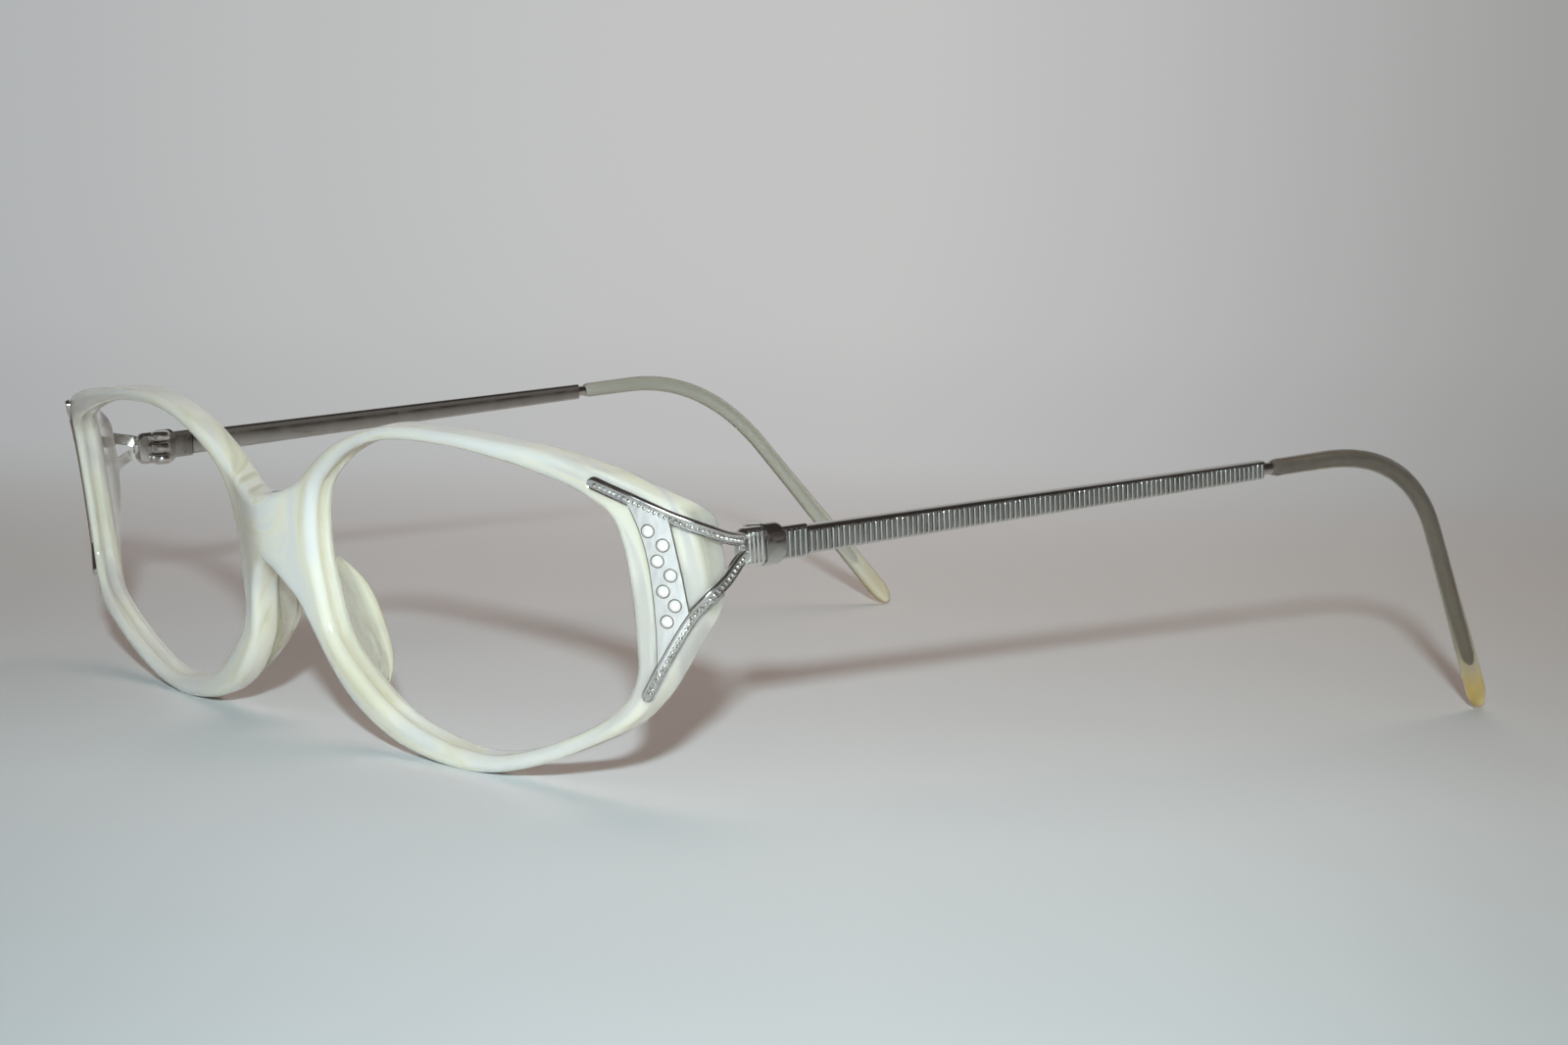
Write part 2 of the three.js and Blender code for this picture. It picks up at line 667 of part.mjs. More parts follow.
function plateGeometry() {
  const shape = new THREE.Shape();
  const at = (u, v) => [u * LUG_SIZE, v * LUG_SIZE];
  shape.moveTo(...at(-0.5, 1.26));
  shape.quadraticCurveTo(...at(-0.375, 0.92), ...at(-0.365, 0.5));
  shape.quadraticCurveTo(...at(-0.35, -0.06), ...at(-0.42, -0.65));
  shape.lineTo(...at(-0.335, -0.45));
  shape.lineTo(...at(-0.11, -0.05));
  shape.lineTo(...at(-0.175, 1.03));
  shape.closePath();
  const options = { depth: PLATE_HEIGHT, bevelEnabled: false, curveSegments: 6 };
  const plate = new THREE.ExtrudeGeometry(shape, options);
  const p = plate.attributes.position;
  for (let i = 0; i < p.count; i += 1) {
    const base = onFace(p.getX(i), p.getY(i));
    const lift = METAL_GAP + p.getZ(i);
    p.setXYZ(i, base.p.x + Math.sin(base.angle) * lift, base.p.y - Math.cos(base.angle) * lift, base.p.z);
  }
  const floor = PLATE_HEIGHT - CRYSTAL_PAVILION;
  const seats = crystalPlaces.map((place) => (
    post(CRYSTAL_RADIUS + METAL_GAP, floor, floor + 2, CRYSTAL_SIDES).applyMatrix4(standing(place))
  ));
  const arms = [upperArm, lowerArm].map((controls) => armSolid(controls, METAL_GAP));
  return geometryOf(arms.reduce((rest, arm) => rest.subtract(arm), cut(solid(plate), seats)));
}

// The frame of something standing on the front face: Z along the face's normal
function standing(place) {
  const out = vec3(Math.sin(place.angle), -Math.cos(place.angle), 0);
  const up = vec3(0, 0, 1);
  const across = up.clone().cross(out);
  return new THREE.Matrix4().makeBasis(across, up, out).setPosition(place.p);
}

// Crystal: pointed pavilion, girdle, crown and flat table, its girdle in the origin's plane
function crystalGeometry() {
  const profile = [
    vec2(0, -CRYSTAL_PAVILION + METAL_GAP),
    vec2(CRYSTAL_RADIUS, -CRYSTAL_GIRDLE * 0.75),
    vec2(CRYSTAL_RADIUS, CRYSTAL_GIRDLE * 0.25),
    vec2(CRYSTAL_RADIUS * 0.6, CRYSTAL_CROWN),
    vec2(0, CRYSTAL_CROWN),
  ];
  return new THREE.LatheGeometry(profile, CRYSTAL_SIDES).rotateX(Math.PI / 2);
}

// Screw: slotted head, plain shank, along Z of the hinge's frame
function screwGeometry() {
  const top = stackTop - HEAD_RECESS;
  const profile = [
    vec2(0, -stackTop),
    vec2(SCREW_RADIUS, -stackTop),
    vec2(SCREW_RADIUS, top - HEAD_HEIGHT),
    vec2(HEAD_RADIUS, top - HEAD_HEIGHT),
    vec2(HEAD_RADIUS, top),
    vec2(0, top),
  ];
  const screw = new THREE.LatheGeometry(profile, ROUND_SIDES).rotateX(Math.PI / 2);
  const reach = HEAD_RADIUS + 1;
  const slot = box(vec3(-reach, -SLOT_WIDTH / 2, top - SLOT_DEPTH), vec3(reach, SLOT_WIDTH / 2, top + 1));
  return geometryOf(cut(solid(screw), [slot]));
}

// Cuff: saddle, ribbed panel and middle barrel, with a socket for the bar's tenon

const cuffBack = splitGap + CUFF_LENGTH;
const panelBack = cuffBack + PANEL_LENGTH;
const barMiddle = (BAR_INNER + BAR_OUTER) / 2;
const ribsOn = BAR_OUTER - RIB_RELIEF;

function tenon(grow, back) {
  const from = panelBack - TENON_LENGTH - grow;
  return box(
    vec3(barMiddle - TENON_WIDTH / 2 - grow, from, -TENON_HEIGHT / 2 - grow),
    vec3(barMiddle + TENON_WIDTH / 2 + grow, back, TENON_HEIGHT / 2 + grow),
  );
}

function cuffGeometry() {
  const pitch = PANEL_LENGTH / PANEL_RIBS;
  const cuffOuter = BLOCK_OUTER + CUFF_PROUD;
  const blank = joined([
    sideBlock(splitGap, cuffBack, CUFF_HEIGHT, BLOCK_INNER, cuffOuter, SPLIT_CORNER, BLOCK_CORNER),
    ribbedSlab(BAR_INNER, ribsOn, RIB_RELIEF, cuffBack - PANEL_LAP, pitch, PANEL_RIBS, PANEL_HEIGHT),
    post(BARREL_RADIUS, -middleTop, middleTop),
  ]);
  const upper = post(BARREL_RADIUS + RUNNING_GAP, middleTop, stackTop + 1);
  const lower = post(BARREL_RADIUS + RUNNING_GAP, -stackTop - 1, -middleTop);
  return geometryOf(cut(blank, [upper, lower, screwBore(), tenon(METAL_GAP, panelBack + 1)]));
}

// Temple bar: ribbed outer face, tapering height, with tenon, neck and the tip's core wire

const barFront = panelBack + METAL_GAP;
const barBack = barFront + BAR_LENGTH;
const tipFront = barBack + NECK_LENGTH;

// Centre line of the tip: straight on from the bar, a bend, and a straight drop leaning inward
const dropWay = vec3(
  -Math.sin(INWARD_ANGLE),
  Math.cos(INWARD_ANGLE) * Math.cos(BEND_ANGLE),
  -Math.cos(INWARD_ANGLE) * Math.sin(BEND_ANGLE),
);
const bendCorner = vec3(barMiddle, tipFront + TIP_STRAIGHT, 0);
const bendFrom = vec3(barMiddle, bendCorner.y - BEND_REACH, 0);
const bendTo = bendCorner.clone().addScaledVector(dropWay, BEND_REACH);

function tipRoute(from, end) {
  const route = new THREE.CurvePath();
  route.add(new THREE.LineCurve3(vec3(barMiddle, from, 0), bendFrom));
  route.add(new THREE.QuadraticBezierCurve3(bendFrom, bendCorner, bendTo));
  route.add(new THREE.LineCurve3(bendTo, bendCorner.clone().addScaledVector(dropWay, end)));
  return route;
}

const sideways = () => vec3(1, 0, 0);
const coreSection = (grow) => ellipse(CORE_RADIUS + grow, CORE_RADIUS + grow, CORE_SIDES);

function barGeometry() {
  const pitch = BAR_LENGTH / RIB_COUNT;
  const bar = ribbedSlab(BAR_INNER, ribsOn, RIB_RELIEF, barFront, pitch, RIB_COUNT, 1);
  const p = bar.attributes.position;
  for (let i = 0; i < p.count; i += 1) {
    const share = (p.getY(i) - barFront) / BAR_LENGTH;
    p.setZ(i, p.getZ(i) * lerp(BAR_FRONT_HEIGHT, BAR_BACK_HEIGHT, share));
  }
  const core = tipRoute(barBack - 1, TIP_DROP - TIP_CLEAR_END);
  const wire = sweep(core, stopsBetween(0, 1, CORE_STEPS), sideways, () => coreSection(0));
  const neck = post(NECK_RADIUS, barBack - 0.5, tipFront - METAL_GAP);
  neck.rotateX(-Math.PI / 2).translate(barMiddle, 0, 0);
  return geometryOf(joined([bar, tenon(0, barFront + 0.5), wire, neck]));
}

function tipGeometry() {
  const route = tipRoute(tipFront, TIP_DROP);
  const length = route.getLength();
  const bendShare = TIP_STRAIGHT / length;
  const stops = [...stopsBetween(0, 0.95, 20), 0.975, 0.99, 1];
  const skin = sweep(route, stops, sideways, (t) => {
    const early = Math.min(t / bendShare, 1);
    const late = ease(THREE.MathUtils.clamp((t - 0.55) / 0.4, 0, 1));
    const width = lerp(lerp(TIP_FRONT_WIDTH, TIP_BEND_WIDTH, early), TIP_END_WIDTH, late);
    const nose = Math.sqrt(1 - Math.max((t - 0.95) / 0.05, 0) ** 2 * 0.85);
    return ellipse((TIP_THICKNESS / 2) * nose, (width / 2) * nose, 12);
  });
  const boreRoute = tipRoute(tipFront - 1, TIP_DROP - TIP_CLEAR_END + RUNNING_GAP);
  const bore = sweep(boreRoute, stopsBetween(0, 1, CORE_STEPS), sideways, () => coreSection(METAL_GAP));
  return geometryOf(cut(solid(skin), [bore]));
}

// Assembly

const frame = new THREE.Group();

function addMesh(parent, name, geometry, material) {
  const mesh = new THREE.Mesh(geometry, material);
  mesh.name = name;
  parent.add(mesh);
  return mesh;
}

const postHoles = postPlaces.flatMap((place) => {
  const hole = fixingPost(place, POST_RADIUS + METAL_GAP, -POST_LENGTH - METAL_GAP, 1);
  return [hole, mirrored(hole)];
});
const frontFrame = geometryOf(cut(solid(frontGeometry(0)), postHoles));
addMesh(frame, 'front_frame', frontFrame, acetate);

const padShape = padGeometry();
const endpieceShape = endpieceGeometry();
const plateShape = plateGeometry();
const crystalShape = crystalGeometry();
const screwShape = screwGeometry();
const cuffShape = cuffGeometry();
const barShape = barGeometry();
const tipShape = tipGeometry();

for (const side of ['left', 'right']) {
  const sign = side === 'left' ? 1 : -1;
  const sided = (geometry) => (sign > 0 ? geometry : mirrored(geometry));
  addMesh(frame, `nose_pad_${side}`, sided(padShape), padAcetate);
  addMesh(frame, `endpiece_${side}`, sided(endpieceShape), polishedMetal);
  addMesh(frame, `stone_plate_${side}`, sided(plateShape), satinMetal);
  crystalPlaces.forEach((place, k) => {
    const lift = METAL_GAP + PLATE_HEIGHT;
    const crystal = addMesh(frame, `crystal_${side}_${k + 1}`, crystalShape, crystalGlass);
    const out = vec3(sign * Math.sin(place.angle), -Math.cos(place.angle), 0);
    crystal.position.set(sign * place.p.x, place.p.y, place.p.z).addScaledVector(out, lift);
    crystal.quaternion.setFromUnitVectors(vec3(0, 0, 1), out);
  });
  const temple = new THREE.Group();
  temple.position.set(sign * hingePoint.x, hingePoint.y, hingePoint.z);
  temple.rotation.set(hingeTurn.x, 0, sign * hingeTurn.z);
  frame.add(temple);
  addMesh(temple, `hinge_screw_${side}`, sided(screwShape), polishedMetal);
  addMesh(temple, `hinge_cuff_${side}`, sided(cuffShape), polishedMetal);
  addMesh(temple, `temple_bar_${side}`, sided(barShape), polishedMetal);
  addMesh(temple, `temple_tip_${side}`, sided(tipShape), tipAcetate);
}

// The frame stands on both rims and both tips: the tilt that brings them to one level
function lowest(geometry, tilt) {
  const p = geometry.attributes.position;
  let least = Infinity;
  for (let i = 0; i < p.count; i += 1) {
    least = Math.min(least, p.getY(i) * Math.sin(tilt) + p.getZ(i) * Math.cos(tilt));
  }
  return least;
}

const placedTip = tipShape.clone().applyMatrix4(hingeMatrix);
let tiltLow = 0;
let tiltHigh = TILT_LIMIT;
for (let k = 0; k < 40; k += 1) {
  const tilt = (tiltLow + tiltHigh) / 2;
  if (lowest(placedTip, tilt) < lowest(frontFrame, tilt)) {
    tiltLow = tilt;
  } else {
    tiltHigh = tilt;
  }
}
frame.rotation.x = tiltLow;

// Origin at the bottom centre of the standing frame
const extent = new THREE.Box3().setFromObject(frame, true);
frame.position.set(0, -(extent.min.y + extent.max.y) / 2, -extent.min.z);

export default frame;
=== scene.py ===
"""Looks of an eyeglass frame: marbled acetate front, crystal-set end pieces, ribbed temples."""

import json
import math

import bmesh
import bpy
import numpy as np
from mathutils import Matrix, Vector
from mathutils.geometry import delaunay_2d_cdt


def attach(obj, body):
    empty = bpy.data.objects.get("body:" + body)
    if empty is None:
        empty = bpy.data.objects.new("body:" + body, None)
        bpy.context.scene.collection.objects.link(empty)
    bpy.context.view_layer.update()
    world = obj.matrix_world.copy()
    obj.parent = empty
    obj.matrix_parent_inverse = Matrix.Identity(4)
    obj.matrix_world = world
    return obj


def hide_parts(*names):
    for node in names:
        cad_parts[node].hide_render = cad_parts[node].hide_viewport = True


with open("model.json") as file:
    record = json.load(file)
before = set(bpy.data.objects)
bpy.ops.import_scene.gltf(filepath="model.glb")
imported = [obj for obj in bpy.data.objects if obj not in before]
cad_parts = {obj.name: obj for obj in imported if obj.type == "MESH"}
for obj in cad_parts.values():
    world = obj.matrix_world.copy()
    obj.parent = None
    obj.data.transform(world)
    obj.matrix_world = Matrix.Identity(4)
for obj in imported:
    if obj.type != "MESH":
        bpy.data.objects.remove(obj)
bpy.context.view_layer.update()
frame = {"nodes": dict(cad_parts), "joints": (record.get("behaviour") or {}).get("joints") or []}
scene = bpy.context.scene

MM = 0.001
DEG = math.pi / 180

# Sizes shared with the solids, in millimetres

APERTURE_WIDTH, APERTURE_HEIGHT, NOSE_GAP = 52.0, 33.9, 17.0
THICKNESS, EDGE = 3.6, 1.0
BOW_RADIUS, WRAP_INSET, WRAP_RADIUS = 297, 4.5, 10.8
GROOVE_WIDTH, GROOVE_DEPTH = 1.4, 0.5
RIM_TOP, RIM_BROW, RIM_LUG, RIM_CHEEK, RIM_BOTTOM, RIM_NOSE = 1.45, 2.5, 5.4, 2.0, 2.1, 4.3
BRIDGE_TOP, BRIDGE_ARCH, BRIDGE_FORWARD, BRIDGE_REACH = 9.2, 1.4, 1.6, 9
PAD_DEPTH, PAD_WIDTH, PAD_FLARE, PAD_FROM, PAD_TO = 4.2, 3.4, 0.35, 176, 209
ARM_WIDTH, ARM_HEIGHT, ARM_LIFT, BEAD_PITCH = 1.4, 0.4, 0.1, 0.57
PLATE_LIFT, PLATE_HEIGHT = 0.06, 0.45
CRYSTAL_RADIUS, CRYSTAL_CROWN, CRYSTAL_COUNT = 0.6, 0.22, 7
CRYSTAL_PITCH, CRYSTAL_ZIGZAG, CRYSTAL_LEAN = 1.575, 0.37, 0.6
CRYSTAL_FROM_LUG, CRYSTAL_FIRST = 2.43, 9.15
HINGE_INSET, HINGE_SETBACK, HINGE_RISE = 2.0, 5.0, 5.15
TEMPLE_DROP, TEMPLE_SPLAY = 5.5 * DEG, 2.3 * DEG
BARREL_RADIUS, BARREL_STACK, BARREL_MIDDLE, RUNNING_GAP = 1.3, 4.3, 1.5, 0.09
BLOCK_LENGTH, BLOCK_HEIGHT, BLOCK_INNER, BLOCK_OUTER = 2.9, 4.1, 0.35, 2.05
BLOCK_FLUTES, FLUTE_PITCH, FLUTE_RELIEF, FLUTE_HEIGHT = 4, 0.52, 0.28, 3.5
WEB_LENGTH, WEB_HEIGHT = 0.3, 1.3
CUFF_LENGTH, CUFF_HEIGHT = 2.45, 4.4
PANEL_LENGTH, PANEL_HEIGHT, PANEL_RIBS = 2.7, 3.4, 4
BAR_LENGTH, BAR_INNER, BAR_OUTER = 63.7, 0.75, 2.3
BAR_FRONT_HEIGHT, BAR_BACK_HEIGHT = 3.0, 2.1
RIB_COUNT, RIB_RELIEF = 92, 0.26
NECK_LENGTH, NECK_RADIUS, CORE_RADIUS, SOLID_GAP = 1.4, 0.7, 0.5, 0.06
TIP_STRAIGHT, TIP_DROP, BEND_REACH = 22.3, 45.2, 14
BEND_ANGLE, INWARD_ANGLE = 56.4 * DEG, 15.5 * DEG
TIP_FRONT_WIDTH, TIP_BEND_WIDTH, TIP_END_WIDTH, TIP_THICKNESS, TIP_CLEAR_END = 2.0, 2.2, 2.9, 2.0, 8

# Sizes of the finer trim, in millimetres

ARM_STEP, BEAD_ROW, BEAD_SINK, BEAD_SIDES = 0.12, -0.15, 0.17, 12
BEAD_ALONG, BEAD_ACROSS, BEAD_OUT = 0.27, 0.3, 0.26
SEAT_GAP, SEAM_SIDE, SEAM_MIDDLE, SEAM_RISE = 0.09, 0.075, 0.28, 0.22
BEZEL_GAP, BEZEL_RADIUS = 0.08, 0.045
BARREL_SOFT, LIP_FRONT, LIP_BACK = 0.4, 0.5, 0.28
BAR_SOFT, BAR_CROWN, BAR_EDGE_INSET = 0.3, 0.95, 0.06
CORE_SHOWN, CORE_OUTWARD, CORE_END = 1.15, 0.1, 0.25

FRONT_SHARP, WELD_DISTANCE = 50, 2e-6

# Run of the marbling: repeats round a rim, across it and into its depth, and shift of the right half

STREAKS_ROUND, STREAKS_ACROSS, STREAKS_DEEP, OTHER_STREAKS = 1.3, 0.5, 0.25, 7

# Camera, found from the photo, in millimetres, and its place in the floor's frame in metres

CAMERA_X, CAMERA_Y, CAMERA_Z = 345.2, -200.8, 65.6
PHOTO_WIDTH, FOCAL_PIXELS, SENSOR_WIDTH = 1600, 3567.0, 36
CAMERA_SIDE, CAMERA_BACK, LEAST_DEPTH = 0.004, 0.435, 0.12
SLANT_FROM, SLANT_SPAN = -0.3, 0.9
LAMP_SPREAD = 140 * DEG


def lerp(a, b, t):
    return a + (b - a) * t


def ease(t):
    return t * t * (3 - 2 * t)


def fade(t):
    return ease(np.clip(t, 0, 1))


# Curves


def catmull(points, closed=False, per_span=40):
    """A smooth curve through points (centripetal), with many samples per span."""
    p = np.asarray(points, float)
    n = len(p)
    if closed:
        ext = np.vstack([p[-1:], p, p[:2]])
        spans = n
    else:
        ext = np.vstack([2 * p[0] - p[1], p, 2 * p[-1] - p[-2]])
        spans = n - 1
    t = np.linspace(0, 1, per_span, endpoint=False)[:, None]
    out = []
    for i in range(spans):
        a, b, c, d = ext[i : i + 4]
        d0, d1, d2 = (max(np.sqrt(np.linalg.norm(v - u)), 1e-6) for u, v in ((a, b), (b, c), (c, d)))
        m1 = ((b - a) / d0 - (c - a) / (d0 + d1) + (c - b) / d1) * d1
        m2 = ((c - b) / d1 - (d - b) / (d1 + d2) + (d - c) / d2) * d1
        out.append(
            (2 * t**3 - 3 * t**2 + 1) * b + (t**3 - 2 * t**2 + t) * m1
            + (3 * t**2 - 2 * t**3) * c + (t**3 - t**2) * m2
        )
    if not closed:
        out.append(p[-1:])
    return np.vstack(out)


def run_of(line):
    """Length along a line up to each of its points."""
    step = np.linalg.norm(np.diff(line, axis=0), axis=1)
    return np.concatenate([[0], np.cumsum(step)])


def spaced(line, count):
    """The line again, with count + 1 points at equal steps."""
    run = run_of(line)
    at = np.linspace(0, run[-1], count + 1)
    return np.stack([np.interp(at, run, line[:, k]) for k in range(line.shape[1])], axis=1)


def distance_to(line, pts):
    """Least distance from each point to a line of points."""
    a, b = line[:-1], line[1:]
    ab = b - a
    ab2 = np.maximum((ab**2).sum(1), 1e-12)
    least = np.full(len(pts), np.inf)
    for i in range(0, len(pts), 2000):
        p = pts[i : i + 2000, None, :]
        t = np.clip(((p - a) * ab).sum(2) / ab2, 0, 1)
        least[i : i + 2000] = np.linalg.norm(p - (a + t[..., None] * ab), axis=2).min(1)
    return least


# Front outline and bow

centre = np.array([NOSE_GAP / 2 + APERTURE_WIDTH / 2, RIM_BOTTOM + APERTURE_HEIGHT / 2])
lug_x = NOSE_GAP / 2 + APERTURE_WIDTH + RIM_LUG

APERTURE_SHAPE = [
    (-0.37, 1.0), (0.05, 1.0), (0.34, 0.94), (0.6, 0.855), (0.82, 0.75), (0.93, 0.635),
    (0.965, 0.45), (0.975, 0.17), (0.97, -0.1), (0.953, -0.36), (0.888, -0.528), (0.73, -0.685),
    (0.35, -0.905), (0.06, -1.0), (-0.24, -0.975), (-0.55, -0.845), (-0.8, -0.6), (-0.945, -0.37),
    (-0.99, -0.05), (-1.0, 0.26), (-0.935, 0.585), (-0.81, 0.755), (-0.61, 0.91),
]
half_size = np.array([APERTURE_WIDTH, APERTURE_HEIGHT]) / 2
aperture = catmull(centre + np.array(APERTURE_SHAPE) * half_size, closed=True)
aperture = np.vstack([aperture, aperture[:1]])

_angle = np.unwrap(np.arctan2(aperture[:, 1] - centre[1], aperture[:, 0] - centre[0]))
_radius = np.linalg.norm(aperture - centre, axis=1)
_order = np.argsort(_angle)
_angle, _radius = _angle[_order], _radius[_order]


def on_aperture(angle):
    a = (np.asarray(angle) - _angle[0]) % (2 * math.pi) + _angle[0]
    r = np.interp(a, _angle, _radius)
    return centre + np.stack([r * np.cos(a), r * np.sin(a)], axis=-1)


def rim_point(degrees, width):
    a = degrees * DEG
    step = on_aperture(a + DEG) - on_aperture(a - DEG)
    normal = np.array([step[1], -step[0]]) / np.linalg.norm(step)
    return on_aperture(a) + normal * width


def lug_point(from_lug, above):
    return np.array([lug_x + from_lug, centre[1] + above])


bridge_top = np.array([0, centre[1] + BRIDGE_TOP])
arch_top = np.array([0, centre[1] + BRIDGE_ARCH])
# Widths of the rim at angles round the aperture, above and below the lug, and the lug's outline
RIM_ABOVE = [
    (160, RIM_NOSE - 0.3), (149, RIM_TOP + 0.6), (136, RIM_TOP + 0.1), (116, RIM_TOP),
    (86, RIM_TOP), (62, RIM_TOP + 0.4), (44, RIM_BROW),
]
LUG_SHAPE = [
    (-9.2, 15.7), (-6.5, 14.75), (-3.4, 12.7), (-1.2, 11.0), (-0.2, 9.6), (0, 7.6),
    (0.1, 3.4), (-0.5, -0.2), (-1.7, -2.7), (-3.0, -5.1), (-4.3, -7.4), (-5.7, -9.25),
]
RIM_BELOW = [
    (335, RIM_CHEEK), (322, RIM_BOTTOM - 0.4), (298, RIM_BOTTOM - 0.35), (268, RIM_BOTTOM),
    (245, RIM_BOTTOM + 0.5), (225, RIM_NOSE - 1.1), (208, RIM_NOSE - 0.6), (197, RIM_NOSE - 1.0),
    (190, RIM_NOSE - 0.8), (185, RIM_NOSE),
]
outer = catmull([
    bridge_top,
    np.array([NOSE_GAP * 0.19, bridge_top[1] + 0.5]),
    *(rim_point(degrees, width) for degrees, width in RIM_ABOVE),
    *(lug_point(from_lug, above) for from_lug, above in LUG_SHAPE),
    *(rim_point(degrees, width) for degrees, width in RIM_BELOW),
    np.array([NOSE_GAP * 0.08, arch_top[1] - 0.7]),
    arch_top,
], per_span=24)


def bow(x):
    """Depth of the front face: a bow, more wrap at the lugs, and the bridge set forward."""
    x = np.abs(np.asarray(x, float))
    past = np.maximum(x - (NOSE_GAP / 2 + APERTURE_WIDTH - WRAP_INSET), 0)
    near = np.maximum(1 - x / BRIDGE_REACH, 0)
    sag = BOW_RADIUS - np.sqrt(BOW_RADIUS**2 - x * x)
    return sag + past * past / (2 * WRAP_RADIUS) - BRIDGE_FORWARD * ease(near)


def bow_angle(x):
    return np.arctan((bow(x + 0.01) - bow(x - 0.01)) / 0.02)


# Places: the front's own frame and the hinge's frame, in the part's frame

hinge_local = np.array([
    lug_x - HINGE_INSET,
    float(bow(lug_x)) + THICKNESS + HINGE_SETBACK,
    centre[1] + HINGE_RISE,
])
fold = next(j for j in frame["joints"] if j["name"] == "left_temple_fold")
tilt = TEMPLE_DROP + math.atan2(-fold["axis"][1], fold["axis"][2])
tilt_matrix = Matrix.Rotation(tilt, 4, "X")
shift = Vector(fold["pos_m"]) / MM - tilt_matrix @ Vector(hinge_local)
front_matrix = Matrix.Translation(shift) @ tilt_matrix
hinge_matrix = (
    Matrix.Translation(hinge_local)
    @ Matrix.Rotation(-TEMPLE_DROP, 4, "X")
    @ Matrix.Rotation(-TEMPLE_SPLAY, 4, "Z")
)


def moved(matrix, pts):
    m = np.array(matrix)
    return np.asarray(pts, float) @ m[:3, :3].T + m[:3, 3]


# Meshes


class Shape:
    """Points and faces in millimetres, gathered from several skins."""

    def __init__(self):
        self.points = []
        self.faces = []
        self.flat = []
        self.values = []
        self.flow = []

    def add(self, pts, faces, flat=False, values=None, flow=None):
        base = len(self.points)
        self.points.extend(map(tuple, pts))
        self.faces.extend(tuple(int(i) + base for i in f) for f in faces)
        self.flat.extend([flat] * len(faces))
        self.values.extend(values if values is not None else [0.0] * len(pts))
        self.flow.extend(map(tuple, flow if flow is not None else pts))
        return self

    def join(self, *skins):
        for skin in skins:
            self.add(skin.points, skin.faces)
        return self

    def changed(self, points, faces):
        out = Shape()
        out.points, out.faces = points, faces
        out.flat, out.values, out.flow = list(self.flat), list(self.values), list(self.flow)
        return out

    def moved(self, matrix):
        return self.changed([tuple(p) for p in moved(matrix, self.points)], list(self.faces))

    def mirrored(self):
        return self.changed([(-x, y, z) for x, y, z in self.points], [f[::-1] for f in self.faces])


def grid_faces(rows, cols, wrap=False):
    faces = []
    for i in range(rows - 1):
        for j in range(cols if wrap else cols - 1):
            k = (j + 1) % cols
            faces.append((i * cols + j, i * cols + k, (i + 1) * cols + k, (i + 1) * cols + j))
    return faces


def tube(rings, caps=True, values=None):
    """A closed skin over rings of equal count."""
    rings = np.asarray(rings, float)
    rows, cols = rings.shape[:2]
    faces = grid_faces(rows, cols, wrap=True)
    if caps:
        faces.append(tuple(range(cols))[::-1])
        faces.append(tuple(range((rows - 1) * cols, rows * cols)))
    pts = rings.reshape(-1, 3)
    v = np.array([pts[list(f[:3])] for f in faces[: (rows - 1) * cols]])
    middle = pts.mean(0)
    turn = np.einsum("ij,ij->i", np.cross(v[:, 1] - v[:, 0], v[:, 2] - v[:, 0]), v[:, 0] - middle)
    if turn.sum() < 0:
        faces = [f[::-1] for f in faces]
    vals = None if values is None else np.repeat(values, cols)
    return Shape().add(pts, faces, values=vals)


def circle(radius, height, sides, turn=0.0):
    angles = [2 * math.pi * (k + turn) / sides for k in range(sides)]
    return [(radius * math.cos(a), radius * math.sin(a), height) for a in angles]


def piece(name, shape, material, body, nodes, sharp):
    """A mesh object of the part, moved to its place and riding on its body."""
    pts = moved(front_matrix, shape.points) * MM
    mesh = bpy.data.meshes.new(name)
    mesh.from_pydata(pts.tolist(), [], shape.faces)
    mesh.validate()
    mesh.polygons.foreach_set("use_smooth", [not f for f in shape.flat[: len(mesh.polygons)]])
    if any(shape.values):
        along = mesh.attributes.new("along", "FLOAT", "POINT")
        along.data.foreach_set("value", [float(v) for v in shape.values])
        flow = mesh.attributes.new("flow", "FLOAT_VECTOR", "POINT")
        flow.data.foreach_set("vector", np.asarray(shape.flow, float).ravel())
    mesh.set_sharp_from_angle(angle=sharp * DEG)
    mesh.materials.append(material)
    obj = bpy.data.objects.new(name, mesh)
    scene.collection.objects.link(obj)
    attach(obj, body)
    if nodes:
        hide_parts(*nodes)
    return obj


# Materials


